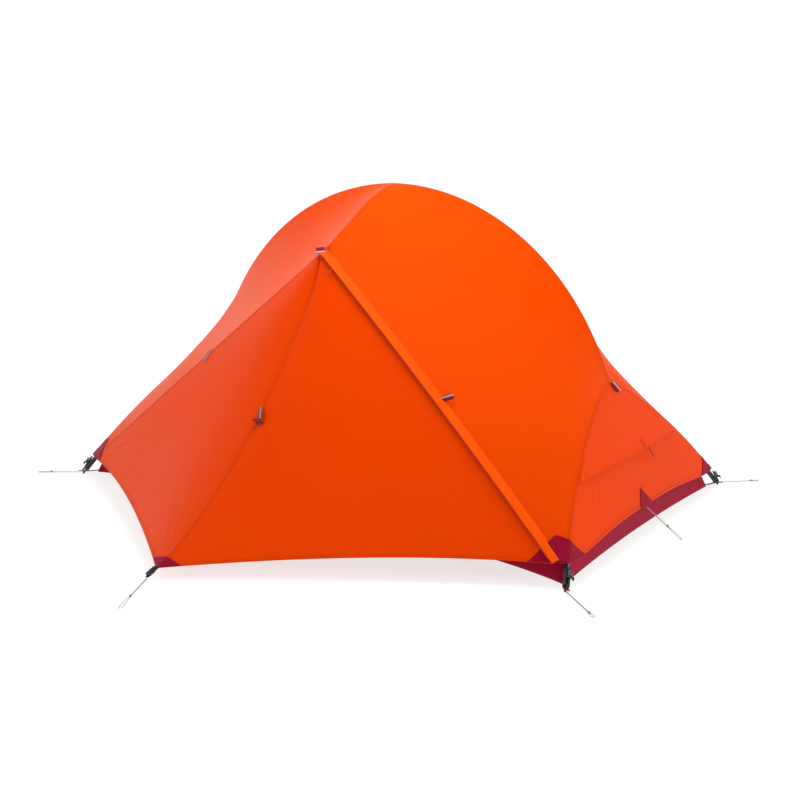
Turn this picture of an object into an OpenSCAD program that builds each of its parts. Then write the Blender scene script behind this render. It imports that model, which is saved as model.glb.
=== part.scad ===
// Two-person, two-door backpacking tent, pitched: a hubbed aluminium pole frame, an inner tent
// clipped under it and a rainfly stretched over it.
// The tent's long axis is X, its front door faces -Y and its pole tips stand on Z = 0.
// The back half is the front half turned half round, so the fly fits either way round.

/* [Frame] */
// Distance between the pole tips along the tent
feet_l = 2200; // [2100:10:2300]
// Distance between the pole tips across the tent
feet_w = 1340; // [1280:10:1400]
// Height of the ridge pole's centreline at the middle
ridge_h = 1168; // [1140:4:1200]
// Radius of the ridge pole's arc
ridge_r = 950; // [920:5:980]
// Angle from the top of the ridge pole down to each hub
hub_angle = 72.5; // [71:0.5:74]
// How far each leg pole bows outward from a straight line
leg_bow = 52; // [40:1:60]
// Outside diameter of every pole tube
pole_d = 9; // [8.5:0.1:9.5]
// Wall thickness of every pole tube
pole_wall = 0.7; // [0.6:0.05:0.8]
// Radius of the bent middle section of the brow pole
brow_r = 360; // [340:5:380]
// Angle that the brow pole's middle section bends to each side
brow_bend = 31; // [30:0.5:32]
// Distance from the middle to each end of the brow pole, across the tent
brow_reach = 455; // [445:5:465]

/* [Fly] */
// Distance from the middle of the tent out to a vestibule's ground corner
vestibule_y = 1304; // [1290:1:1340]
// Height of a vestibule's ground corner
vestibule_z = 36; // [33:1:50]
// Distance from a pole's centreline to the fabric stretched over it
fly_off = 12.5; // [12:0.1:13]
// Thickness of the solids that stand for fabric
cloth_t = 1.5; // [1.2:0.1:1.8]
// How far the zip line bows towards the roof from a straight line
zip_bow = 11; // [8:1:20]
// Width of the flap that covers each zip
flap_w = 30; // [28:1:34]
// Height of the free edge of an end vent's visor
visor_z = 262; // [250:1:280]
// Height of the fold line that an end vent's visor turns about
visor_fold_z = 335; // [325:1:350]

/* [Inner tent] */
// Length of the floor between its corners
floor_l = 2142; // [2120:2:2150]
// Width of the floor between its corners
floor_w = 1240; // [1200:10:1250]
// Height of the floor's waterproof sides
tub_h = 100; // [80:5:110]
// How far the floor's long sides are drawn in at their middle
floor_side_bow = 90; // [70:5:95]
// How far the floor's short sides are drawn in at their middle
floor_end_bow = 24; // [10:1:30]
// Radius of the half-round inner door
inner_door_r = 500; // [440:10:520]

/* [Hidden] */

$fn = 32;
arc_fn = 360;
tube_fn = 24;

pole_r = pole_d / 2;
bore_r = pole_r - pole_wall;
socket_gap = 0.5;

// ---- helpers on vectors and point grids -------------------------------------------------------

function unit(v) = v / norm(v);
function mix(a, b, t) = a * (1 - t) + b * t;
function bezier(a, b, c, t) = mix(mix(a, b, t), mix(b, c, t), t);
function flip_y(p) = [p[0], -p[1], p[2]];

// A grid over the patch between four edge curves: top(s) and bottom(s) run along it, left(t) and
// right(t) run down it.
cells = 10;
settle_rounds = 60;
seam_share = 0.03;
function patch_point(top, bottom, left, right, s, t) =
    mix(top(s), bottom(s), t) + mix(left(t), right(t), s)
    - mix(mix(top(0), top(1), s), mix(bottom(0), bottom(1), s), t);
function patch(top, bottom, left, right) =
    [for (i = [0:cells]) [for (j = [0:cells])
        patch_point(top, bottom, left, right, i / cells, j / cells)]];

// Stretched cloth settles so that each point lies at the mean of its neighbours.
function settle_once(g) =
    [for (i = [0:cells]) [for (j = [0:cells])
        (i == 0 || i == cells || j == 0 || j == cells) ? g[i][j]
        : (g[i - 1][j] + g[i + 1][j] + g[i][j - 1] + g[i][j + 1]) / 4]];
function settle(g, rounds) = rounds == 0 ? g : settle(settle_once(g), rounds - 1);

// Draws the rim of a grid in by a share of its outer cells, to leave a seam gap.
function seam_gap_u(g, k) =
    [for (i = [0:cells]) i == 0 ? [for (j = [0:cells]) mix(g[0][j], g[1][j], k)]
        : i == cells ? [for (j = [0:cells]) mix(g[cells][j], g[cells - 1][j], k)] : g[i]];
function seam_gap_v(g, k) =
    [for (i = [0:cells]) [for (j = [0:cells])
        j == 0 ? mix(g[i][0], g[i][1], k)
        : j == cells ? mix(g[i][cells], g[i][cells - 1], k) : g[i][j]]];
function seam_gap(g, k) = seam_gap_v(seam_gap_u(g, k), k);

function low(i) = max(i - 1, 0);
function high(i) = min(i + 1, cells);
function grid_normal(g, i, j) =
    unit(cross(g[high(i)][j] - g[low(i)][j], g[i][high(j)] - g[i][low(j)]));

// A closed solid of even thickness on a grid.
module cloth(g, thickness = cloth_t) {
    m = cells + 1;
    upper = [for (i = [0:cells]) for (j = [0:cells])
        g[i][j] + grid_normal(g, i, j) * thickness / 2];
    lower = [for (i = [0:cells]) for (j = [0:cells])
        g[i][j] - grid_normal(g, i, j) * thickness / 2];
    k = m * m;
    faces_up = [for (i = [0:cells - 1]) for (j = [0:cells - 1]) let (a = i * m + j)
        each [[a, a + 1, a + m + 1], [a, a + m + 1, a + m]]];
    faces_down = [for (f = faces_up) [f[0] + k, f[2] + k, f[1] + k]];
    rim = concat(
        [for (j = [0:cells - 1]) j],
        [for (i = [0:cells - 1]) i * m + cells],
        [for (j = [0:cells - 1]) cells * m + cells - j],
        [for (i = [0:cells - 1]) (cells - i) * m]);
    n = len(rim);
    sides = [for (i = [0:n - 1]) let (a = rim[i], b = rim[(i + 1) % n])
        each [[a, a + k, b + k], [a, b + k, b]]];
    polyhedron(concat(upper, lower), concat(faces_up, faces_down, sides));
}

// A tube swept along a route of points, with flat ends.
module swept(route, d, sides = 8) {
    n = len(route);
    function way(i) = unit(route[min(i + 1, n - 1)] - route[max(i - 1, 0)]);
    function across(i) = unit(cross(way(i), [0, 0, 1]));
    function above(i) = cross(across(i), way(i));
    rings = [for (i = [0:n - 1]) for (k = [0:sides - 1])
        route[i] + (across(i) * cos(360 * k / sides) + above(i) * sin(360 * k / sides)) * d / 2];
    skin = [for (i = [0:n - 2]) for (k = [0:sides - 1])
        let (a = i * sides + k, b = i * sides + (k + 1) % sides)
        each [[a, b, b + sides], [a, b + sides, a + sides]]];
    first_end = [for (k = [0:sides - 1]) sides - 1 - k];
    last_end = [for (k = [0:sides - 1]) (n - 1) * sides + k];
    polyhedron(rings, concat(skin, [first_end], [last_end]));
}

module both_ends() {
    children();
    rotate([0, 0, 180]) children();
}
module four_corners() {
    for (mx = [0, 1]) for (my = [0, 1]) mirror([mx, 0, 0]) mirror([0, my, 0]) children();
}
// Turns the model's Z axis onto a direction.
module aim(from, towards) {
    v = unit(towards - from);
    translate(from) rotate([0, acos(v[2]), atan2(v[1], v[0])]) children();
}

// ---- the frame's lines ------------------------------------------------------------------------

tip_r = 4;
ridge_cz = ridge_h - ridge_r;
hub_x = ridge_r * sin(hub_angle);
hub_z = ridge_cz + ridge_r * cos(hub_angle);
hub = [hub_x, 0, hub_z];

function ridge_point(a, off = 0) =
    [(ridge_r + off) * sin(a), 0, ridge_cz + (ridge_r + off) * cos(a)];

// Each pair of legs lies in a plane that leans in towards the tent. In that plane y runs across
// the tent and s runs up the slope from the pole tips.
leg_lean = atan((feet_l / 2 - hub_x) / (hub_z - tip_r));
leg_slope = norm([feet_l / 2 - hub_x, hub_z - tip_r]);
function on_end(p, out = 0) = [
    feet_l / 2 - p[1] * sin(leg_lean) + out * cos(leg_lean),
    p[0],
    tip_r + p[1] * cos(leg_lean) + out * sin(leg_lean)
];
leg_chord = norm([feet_w / 2, leg_slope]);
leg_r = (leg_chord * leg_chord / 4 + leg_bow * leg_bow) / (2 * leg_bow);
leg_half = asin(leg_chord / 2 / leg_r);
leg_dir = atan2(feet_w / 2, leg_slope);
leg_centre = [feet_w / 4, leg_slope / 2] - (leg_r - leg_bow) * [cos(leg_dir), sin(leg_dir)];
function leg_angle(t) = leg_dir + leg_half * (1 - 2 * t);
function leg_2d(t, off = 0) = leg_centre + (leg_r + off) * [cos(leg_angle(t)), sin(leg_angle(t))];
function leg_point(t, off = 0, out = 0) = on_end(leg_2d(t, off), out);
function slope_at(z) = (z - tip_r) / cos(leg_lean);

// Draws in the plane of the right end's legs, with its own Z axis pointing out of the tent.
module in_end_plane() {
    translate([feet_l / 2, 0, tip_r]) rotate([0, -leg_lean, 0]) rotate([90, 0, 90]) children();
}

brow_drop = pole_d + 5;
brow_cz = ridge_h - brow_drop - brow_r;
brow_knee_y = brow_r * sin(brow_bend);
brow_knee_z = brow_cz + brow_r * cos(brow_bend);
brow_straight = (brow_reach - brow_knee_y) / cos(brow_bend);
brow_end_z = brow_knee_z - brow_straight * sin(brow_bend);

// ---- poles ------------------------------------------------------------------------------------

// A bent tube: part of a ring of radius r from one angle to another, about the Z axis.
module bent_tube(r, from, to, outer, inner) {
    rotate([0, 0, from]) rotate_extrude(angle = to - from, $fn = arc_fn)
        translate([r, 0]) difference() {
            circle(outer, $fn = tube_fn);
            if (inner > 0) circle(inner, $fn = tube_fn);
        }
}
module straight_tube(length, outer, inner) {
    difference() {
        cylinder(h = length, r = outer);
        translate([0, 0, -1]) cylinder(h = length + 2, r = inner);
    }
}
module in_ridge_plane() translate([0, 0, ridge_cz]) rotate([90, 0, 0]) children();
module in_brow_plane() translate([0, 0, brow_cz]) rotate([90, 0, 90]) children();

ridge_sections = 5;
hub_socket = 26;
ridge_half = hub_angle - (12 / ridge_r) * 180 / PI;
ridge_step = 2 * ridge_half / ridge_sections;
joint_gap = 0.02;
module ridge_section(i) {
    start = 90 - ridge_half + i * ridge_step;
    color("dimgray") in_ridge_plane()
        bent_tube(ridge_r, start + joint_gap, start + ridge_step - joint_gap, pole_r, bore_r);
}

leg_end_t = 12 / leg_chord;
leg_foot_t = 1 - 30 / leg_chord;
leg_joint_t = 0.5;
module in_leg_plane() in_end_plane() translate([leg_centre[0], leg_centre[1], 0]) children();
module leg_tubes() {
    in_leg_plane() {
        bent_tube(leg_r, leg_angle(leg_joint_t) + joint_gap, leg_angle(leg_end_t), pole_r, bore_r);
        bent_tube(leg_r, leg_angle(leg_foot_t), leg_angle(leg_joint_t) - joint_gap, pole_r, bore_r);
    }
}
module leg_pole(mx, my) color("dimgray") mirror([mx, 0, 0]) mirror([0, my, 0]) leg_tubes();

module brow_pole_centre() {
    color("dimgray") in_brow_plane()
        bent_tube(brow_r, 90 - brow_bend, 90 + brow_bend, pole_r, bore_r);
}
module brow_arm() translate([0, brow_knee_y, brow_knee_z]) rotate([-90 - brow_bend, 0, 0]) children();
brow_tip_l = 22;
module brow_pole_ends() {
    color("dimgray") for (my = [0, 1]) mirror([0, my, 0]) brow_arm()
        translate([0, 0, 0.3]) straight_tube(brow_straight - brow_tip_l, pole_r, bore_r);
}

ferrule_half = 38;
ferrule_wall = 0.8;
ferrule_play = 0.05;
module pole_ferrules() {
    outer = bore_r - ferrule_play;
    color("silver") {
        ridge_reach = ferrule_half / ridge_r * 180 / PI;
        in_ridge_plane() for (i = [1:ridge_sections - 1]) let (a = 90 - ridge_half + i * ridge_step)
            bent_tube(ridge_r, a - ridge_reach, a + ridge_reach, outer, outer - ferrule_wall);
        leg_reach = ferrule_half / leg_r * 180 / PI;
        leg_a = leg_angle(leg_joint_t);
        four_corners() in_leg_plane()
            bent_tube(leg_r, leg_a - leg_reach, leg_a + leg_reach, outer, outer - ferrule_wall);
        for (my = [0, 1]) mirror([0, my, 0]) brow_arm()
            translate([0, 0, 0.5]) straight_tube(ferrule_half, outer, outer - ferrule_wall);
    }
}

shock_r = 1.3;
module shock_cords() {
    color("white") {
        in_ridge_plane() bent_tube(ridge_r, 90 - ridge_half, 90 + ridge_half, shock_r, 0);
        four_corners() in_leg_plane()
            bent_tube(leg_r, leg_angle(leg_foot_t), leg_angle(leg_end_t), shock_r, 0);
        in_brow_plane() bent_tube(brow_r, 90 - brow_bend, 90 + brow_bend, shock_r, 0);
        for (my = [0, 1]) mirror([0, my, 0]) brow_arm()
            translate([0, 0, 0.3]) cylinder(h = brow_straight - brow_tip_l - 1, r = shock_r);
    }
}

// Moulded Y: one socket for the ridge pole and one for each leg.
hub_r = 8;
hub_bore_start = 10;
module hub_sockets(r, start, end) {
    ridge_way = ridge_point(hub_angle - 1.6);
    aim(hub, ridge_way) translate([0, 0, start]) cylinder(h = end - start, r = r);
    for (side = [-1, 1]) {
        leg_way = leg_point(hub_socket / leg_chord);
        aim(hub, [leg_way[0], side * leg_way[1], leg_way[2]])
            translate([0, 0, start]) cylinder(h = end - start, r = r);
    }
}
module hub_body() {
    difference() {
        union() {
            translate(hub) sphere(hub_r);
            hub_sockets(hub_r, 0, hub_socket + 6);
        }
        hub_sockets(pole_r + socket_gap, hub_bore_start, hub_socket + 10);
    }
}
module hub_right() color("#202020") hub_body();
module hub_left() color("#202020") mirror([1, 0, 0]) hub_body();

// Clip that holds the brow pole across the underside of the ridge pole.
swivel_l = 26;
module brow_swivel() {
    brow_z = ridge_h - brow_drop;
    color("#202020") difference() {
        union() {
            translate([-swivel_l / 2, 0, ridge_h]) rotate([0, 90, 0])
                cylinder(h = swivel_l, r = pole_r + 2.2);
            translate([0, swivel_l / 2, brow_z]) rotate([90, 0, 0])
                cylinder(h = swivel_l, r = pole_r + 2.2);
            translate([0, 0, brow_z]) cylinder(h = brow_drop, r = 5);
        }
        translate([-swivel_l, 0, ridge_h]) rotate([0, 90, 0])
            cylinder(h = 2 * swivel_l, r = pole_r + 0.25);
        translate([0, swivel_l, brow_z]) rotate([90, 0, 0])
            cylinder(h = 2 * swivel_l, r = pole_r + 0.45);
    }
}

// Plugs in the ends of the poles: four that stand on the ground and two on the brow pole.
module pole_tips() {
    color("silver") {
        four_corners() {
            foot = leg_point(1);
            upper = leg_point(leg_foot_t);
            translate(foot) sphere(tip_r);
            aim(foot, upper) cylinder(h = norm(upper - foot) - 0.2, r = tip_r - 0.4);
        }
        for (my = [0, 1]) mirror([0, my, 0]) brow_arm()
            translate([0, 0, brow_straight - brow_tip_l + 0.5]) {
                cylinder(h = brow_tip_l - 3, r = pole_r);
                translate([0, 0, brow_tip_l - 3]) sphere(pole_r);
            }
    }
}

// Black moulded sleeve on the foot of each leg, which the corner straps buckle to.
sleeve_r = 9;
sleeve_top_t = 1 - 104 / leg_chord;
sleeve_foot_t = 1 - 16 / leg_chord;
module foot_sleeve() {
    top = leg_point(sleeve_top_t);
    bottom = leg_point(sleeve_foot_t);
    length = norm(top - bottom);
    aim(bottom, top) difference() {
        union() {
            cylinder(h = length, r = sleeve_r);
            translate([0, 0, length - 4]) cylinder(h = 4, r = sleeve_r + 1);
            cylinder(h = 5, r = sleeve_r + 1);
        }
        translate([0, 0, -1]) cylinder(h = length + 2, r = pole_r + 0.9);
    }
}
module foot_sleeves() color("#181818") four_corners() foot_sleeve();

// ---- inner tent -------------------------------------------------------------------------------

function side_arc(bow, t) = bow * (1 - pow(2 * t - 1, 2));
// A side that is nearly straight in its middle and pulled out at its ends.
function side_dip(bow, t) = bow * (1 - pow(2 * t - 1, 4));
edge_steps = 12;
// The outline of the floor at one height: a rectangle whose sides are drawn in at their middles.
function floor_outline(x, y, side_bow, end_bow) = concat(
    [for (k = [0:edge_steps - 1]) let (t = k / edge_steps)
        [mix(-x, x, t), -y + side_dip(side_bow, t)]],
    [for (k = [0:edge_steps - 1]) let (t = k / edge_steps)
        [x - side_arc(end_bow, t), mix(-y, y, t)]],
    [for (k = [0:edge_steps - 1]) let (t = k / edge_steps)
        [mix(x, -x, t), y - side_dip(side_bow, t)]],
    [for (k = [0:edge_steps - 1]) let (t = k / edge_steps)
        [-x + side_arc(end_bow, t), mix(y, -y, t)]]);
function at_height(outline, z) = [for (p = outline) [p[0], p[1], z]];
// The tub's rim leans in to pass under the legs.
rim_in_x = 30;
rim_in_y = 47;
rim_side_bow = 10;
rim_end_bow = 14;
function tub_foot(inset) = floor_outline(
    floor_l / 2 - inset, floor_w / 2 - inset, floor_side_bow, floor_end_bow);
function tub_rim(inset) = floor_outline(
    floor_l / 2 - rim_in_x - inset, floor_w / 2 - rim_in_y - inset, rim_side_bow, rim_end_bow);
module inner_floor() {
    n = 4 * edge_steps;
    rings = concat(at_height(tub_foot(0), 0), at_height(tub_rim(0), tub_h),
        at_height(tub_rim(cloth_t), tub_h), at_height(tub_foot(cloth_t), cloth_t),
        [[0, 0, 0], [0, 0, cloth_t]]);
    walls = [for (ring = [0:2]) for (k = [0:n - 1])
        let (a = ring * n + k, b = ring * n + (k + 1) % n)
        each [[a, a + n, b + n], [a, b + n, b]]];
    underside = [for (k = [0:n - 1]) [4 * n, k, (k + 1) % n]];
    inside = [for (k = [0:n - 1]) [4 * n + 1, 3 * n + (k + 1) % n, 3 * n + k]];
    color("#98183a") polyhedron(rings, concat(walls, underside, inside));
}

// The walls with the doors stand on the floor's long sides and lean in to the brow pole's ends.
wall_y = floor_w / 2 - rim_in_y - rim_side_bow - 1;
wall_z = tub_h + 4;
wall_top = [0, -brow_reach + 45, brow_end_z - 45];
wall_lean = atan((wall_y + wall_top[1]) / (wall_top[2] - wall_z));
wall_slope = (wall_top[2] - wall_z) / cos(wall_lean);
wall_half = floor_l / 2 - 97;
wall_bow = 55;
door_play = 4;
// Draws in the plane of the front wall: x along the tent, y up the slope, Z out of the tent.
module in_wall_plane() {
    translate([0, -wall_y, wall_z]) rotate([90 - wall_lean, 0, 0]) children();
}
function wall_edge(t) = let (side = [-wall_slope, -wall_half] / norm([wall_slope, wall_half]))
    mix([0, wall_slope], [wall_half, 0], t) + side * wall_bow * 4 * t * (1 - t);
module wall_outline() {
    top = 0.03;
    right = [for (k = [0:edge_steps]) wall_edge(mix(top, 1, k / edge_steps))];
    polygon(concat(right, [for (k = [edge_steps:-1:0]) [-right[k][0], right[k][1]]]));
}
sill_h = 14;
module half_disc(r) {
    difference() {
        translate([0, sill_h]) circle(r, $fn = 96);
        translate([-2 * r, sill_h - 2 * r]) square([4 * r, 2 * r]);
    }
}
module inner_wall() {
    in_wall_plane() linear_extrude(cloth_t, center = true) difference() {
        wall_outline();
        half_disc(inner_door_r);
    }
}
module inner_door() {
    in_wall_plane() translate([0, door_play, 0]) linear_extrude(cloth_t, center = true)
        half_disc(inner_door_r - 2 * door_play);
}
module inner_wall_front() color("#d8d8d6") inner_wall();
module inner_wall_back() color("#d8d8d6") rotate([0, 0, 180]) inner_wall();
module inner_door_front() color("#c8c8c6") inner_door();
module inner_door_back() color("#c8c8c6") rotate([0, 0, 180]) inner_door();

// The slider of an inner zip, at the low end of its half circle.
pull_size = [9, 14, 5];
module inner_mix() {
    in_wall_plane() translate([inner_door_r, sill_h + 12, cloth_t / 2 + 0.8]) {
        translate([-pull_size[0] / 2, 0, 0]) cube(pull_size);
        translate([0, -8, 1.5]) rotate([-90, 0, 0]) cylinder(h = 8.5, r = 1.5);
    }
}
module inner_zip_pull_front() color("#b01830") inner_mix();
module inner_zip_pull_back() color("#b01830") rotate([0, 0, 180]) inner_mix();

// Half of the inner tent's roof and its end wall, hung under the poles.
inner_drop = 34;
inner_corner_t = 0.79;
function inner_corner() = leg_point(inner_corner_t, -inner_drop, -inner_drop);
function inner_ridge(s) = ridge_point(mix(0, hub_angle - 1.5, s), -inner_drop);
function inner_leg(t) = mix(inner_ridge(1), leg_point(inner_corner_t * t, -inner_drop, -inner_drop),
    min(1, 6 * t));
function inner_brow(t) = bezier(inner_ridge(0), [0, -210, inner_ridge(0)[2] - 10],
    wall_top + [0, 2, 6], t);
function inner_hem(s) = let (e = mix(wall_top + [0, 2, 6], flip_y(inner_corner()), s))
    e + [-22, 14, -30] * 4 * s * (1 - s);
module inner_roof() {
    g = settle(patch(function (s) inner_ridge(s), function (s) inner_hem(s),
        function (t) inner_brow(t), function (t) flip_y(inner_leg(t))), settle_rounds);
    cloth(seam_gap(g, seam_share));
}
module inner_end() {
    out = -inner_drop - 4;
    side = [for (k = [0:edge_steps]) let (t = mix(0.1, inner_corner_t, k / edge_steps))
        leg_2d(t, -inner_drop - 3)];
    in_end_plane() translate([0, 0, out]) linear_extrude(cloth_t, center = true)
        polygon(concat(side, [for (k = [edge_steps:-1:0]) [-side[k][0], side[k][1]]]));
}
module inner_half() {
    inner_roof();
    mirror([0, 1, 0]) inner_roof();
    inner_end();
}
module inner_canopy_right() color("#e4e2de") inner_half();
module inner_canopy_left() color("#e4e2de") mirror([1, 0, 0]) inner_half();

// C-shaped clips on the poles, with a hanger down to the inner tent.
clip_w = 12;
clip_wall = 1.2;
clip_mouth = 10;
hanger_l = inner_drop - pole_r - 5;
module clip() {
    rotate([90, 0, 0]) difference() {
        cylinder(h = clip_w, r = pole_r + 0.3 + clip_wall, center = true);
        cylinder(h = clip_w + 2, r = pole_r + 0.3, center = true);
        translate([-clip_mouth / 2, pole_r / 3, -clip_w]) cube([clip_mouth, 10, 2 * clip_w]);
    }
    translate([-2, -4, -hanger_l - pole_r]) cube([4, 8, hanger_l - 0.9]);
}
ridge_clip_angles = [-62, -48, -34, -20, 20, 34, 48, 62];
leg_clip_ts = [0.2, 0.36, 0.62];
module pole_clips() {
    color("#202020") {
        for (a = ridge_clip_angles) translate(ridge_point(a)) rotate([0, a, 0])
            rotate([0, 0, 90]) clip();
        four_corners() in_leg_plane() for (t = leg_clip_ts)
            rotate([0, 0, leg_angle(t) - 90]) translate([0, leg_r, 0])
                rotate([-90, 0, 0]) rotate([0, 0, 90]) clip();
    }
}

// Webbing from each floor corner to its foot sleeve.
strap_t = 1.6;
module strap(a, b, width, along = [0, 0, 1]) {
    way = unit(b - a);
    side = unit(cross(way, along));
    up = cross(side, way);
    length = norm(b - a);
    multmatrix([
        [way[0], side[0], up[0], a[0]],
        [way[1], side[1], up[1], a[1]],
        [way[2], side[2], up[2], a[2]],
        [0, 0, 0, 1]
    ]) translate([0, -width / 2, -strap_t / 2]) cube([length, width, strap_t]);
}
floor_corner = [floor_l / 2, floor_w / 2, 8];
floor_strap_l = 16;
module floor_corner_straps() {
    color("#181818") four_corners() {
        reach = leg_point(sleeve_foot_t);
        way = unit([reach[0], reach[1], floor_corner[2]] - floor_corner);
        strap(floor_corner + way, floor_corner + way * floor_strap_l, 8);
    }
}

// ---- the fly ----------------------------------------------------------------------------------

peak = [0, 0, ridge_h + fly_off];
brow_end = [0, -brow_reach, brow_end_z + fly_off / cos(brow_bend) - 4];
fly_corner_t = 0.905;
fly_corner = flip_y(leg_point(fly_corner_t, fly_off, fly_off));
vestibule_corner = [0, -vestibule_y, vestibule_z];

// The zip line is an arc from the brow pole's end to the hem, a little way in from the fly's
// corner. It lies in a plane whose normal is zip_n and bows along zip_w.
zip_foot_in = 41;
zip_foot = fly_corner + unit(vestibule_corner - fly_corner) * zip_foot_in;
zip_chord = norm(zip_foot - brow_end);
zip_c = unit(zip_foot - brow_end);
zip_lead = [0.469, -0.51, 0.721];
zip_n = unit(zip_lead - zip_c * (zip_lead * zip_c));
zip_w = cross(zip_n, zip_c);
zip_r = (zip_chord * zip_chord / 4 + zip_bow * zip_bow) / (2 * zip_bow);
zip_half = asin(zip_chord / 2 / zip_r);
zip_centre = mix(brow_end, zip_foot, 0.5) - (zip_r - zip_bow) * zip_w;
function zip_at(t, off = 0, up = 0) = let (a = zip_half * (2 * t - 1))
    zip_centre + (zip_r + off) * (zip_w * cos(a) + zip_c * sin(a)) + zip_n * up;
// Draws in the zip line's plane: x along zip_w from the arc's centre, y along zip_c, z up.
module in_zip_plane() {
    multmatrix([
        [zip_w[0], zip_c[0], zip_n[0], zip_centre[0]],
        [zip_w[1], zip_c[1], zip_n[1], zip_centre[1]],
        [zip_w[2], zip_c[2], zip_n[2], zip_centre[2]],
        [0, 0, 0, 1]
    ]) children();
}

function fly_ridge(s) = ridge_point(hub_angle * s, fly_off);
function brow_pole_y(t) = brow_reach * t;
function brow_pole_z(y) = y < brow_knee_y ? brow_cz + sqrt(brow_r * brow_r - y * y)
    : brow_knee_z - (y - brow_knee_y) * tan(brow_bend);
lift_reach = 120;
function fly_brow(t) = let (y = brow_pole_y(t), lift = max(0, 1 - y / lift_reach))
    mix([0, -y, brow_pole_z(y) + fly_off / cos(brow_bend) - 4 * t
        + (brow_drop - fly_off * (1 / cos(brow_bend) - 1)) * lift], brow_end, t == 1 ? 1 : 0);
function fly_leg(t) = mix(fly_ridge(1), flip_y(leg_point(fly_corner_t * t, fly_off, fly_off)),
    min(1, 8 * t));
// The roof's lower edge follows the zip, then the short hem from the zip to the fly's corner.
foot_share = 1 - 1 / cells;
function roof_foot(s) = s <= foot_share ? zip_at(s / foot_share)
    : mix(zip_foot, fly_corner, (s - foot_share) / (1 - foot_share));
seam_knees = [[0, -460, 830], [0, -955, 165]];
function seam_line(t) = mix(
    bezier(brow_end, seam_knees[0], seam_knees[1], t),
    bezier(seam_knees[0], seam_knees[1], vestibule_corner, t), t);
hem_pull = [20, 45, 18];
function hem_line(s, room) = mix(vestibule_corner, zip_at(1, -room), s) + hem_pull * 4 * s * (1 - s);

module roof_panel() {
    g = settle(patch(function (s) fly_ridge(s), function (s) roof_foot(s),
        function (t) fly_brow(t), function (t) fly_leg(t)), settle_rounds);
    cloth(seam_gap(g, seam_share));
}
module fly_roof_front_right() color("#ff5f10") roof_panel();
module fly_roof_front_left() color("#ff5f10") mirror([1, 0, 0]) roof_panel();
module fly_roof_back_left() color("#ff5f10") rotate([0, 0, 180]) roof_panel();
module fly_roof_back_right() color("#ff5f10") mirror([0, 1, 0]) roof_panel();

// The triangle between the vestibule seam, the zip line and the hem, from just under the peak.
// A door's edge keeps clear of the flap over its zip.
panel_top = 0.05;
zip_room = 14;
side_share = 0.06;
module vestibule_half(room = 0) {
    function down(t) = mix(panel_top, 1, t);
    function edge(t) = zip_at(down(t), -room);
    g = settle(patch(
        function (s) mix(seam_line(panel_top), edge(0), s),
        function (s) hem_line(s, room),
        function (t) seam_line(down(t)),
        function (t) edge(t)), settle_rounds);
    cloth(seam_gap_u(seam_gap_v(g, seam_share), side_share));
}
module door_front() color("#f04800") vestibule_half(zip_room);
module door_back() color("#f04800") rotate([0, 0, 180]) vestibule_half(zip_room);
module vestibule_panel_front() color("#f26030") mirror([1, 0, 0]) vestibule_half();
module vestibule_panel_back() color("#f26030") mirror([0, 1, 0]) vestibule_half();

// Strips that follow the zip line, at a height above the cloth.
strip_steps = 12;
module zip_strip(from_t, to_t, inner_off, width, up, thickness) {
    a0 = zip_half * (2 * from_t - 1);
    a1 = zip_half * (2 * to_t - 1);
    in_zip_plane() translate([0, 0, up]) rotate([0, 0, a0])
        rotate_extrude(angle = a1 - a0, $fn = strip_steps * 360 / (a1 - a0))
            translate([zip_r + inner_off, 0]) square([width, thickness]);
}
tape_w = 12;
tape_up = 2.4;
module zip_tape() zip_strip(0.03, 0.985, 1.5, tape_w, tape_up, 1.2);
module zip_tapes() color("#c02030") both_ends() zip_tape();

flap_up = 13;
flap_overhang = 12;
module storm_flap() {
    zip_strip(0.0, 1.0, -flap_overhang, flap_w, flap_up, cloth_t);
    zip_strip(0.0, 0.985, flap_w - flap_overhang - 2, 2, tape_up + 0.8, flap_up - tape_up - 1);
}
module storm_flap_front() color("#ff6600") storm_flap();
module storm_flap_back() color("#ff6600") rotate([0, 0, 180]) storm_flap();

slider_size = [11, 16, 5];
slider_up = tape_up + 1.2 + 0.6;
top_slider_t = 0.05;
bottom_slider_t = 0.95;
module slider_body(t) {
    in_zip_plane() rotate([0, 0, zip_half * (2 * t - 1)])
        translate([zip_r - slider_size[0] / 2, -slider_size[1] / 2, slider_up]) {
            cube(slider_size);
            translate([slider_size[0] / 2, slider_size[1] - 1, 2]) rotate([-90, 0, 0])
                cylinder(h = 18, r = 1.4);
        }
}
module zip_top_slider_front() color("#b01830") slider_body(top_slider_t);
module zip_bottom_slider_front() color("#b01830") slider_body(bottom_slider_t);
module zip_top_slider_back() color("#b01830") rotate([0, 0, 180]) slider_body(top_slider_t);
module zip_bottom_slider_back() color("#b01830") rotate([0, 0, 180]) slider_body(bottom_slider_t);

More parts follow.
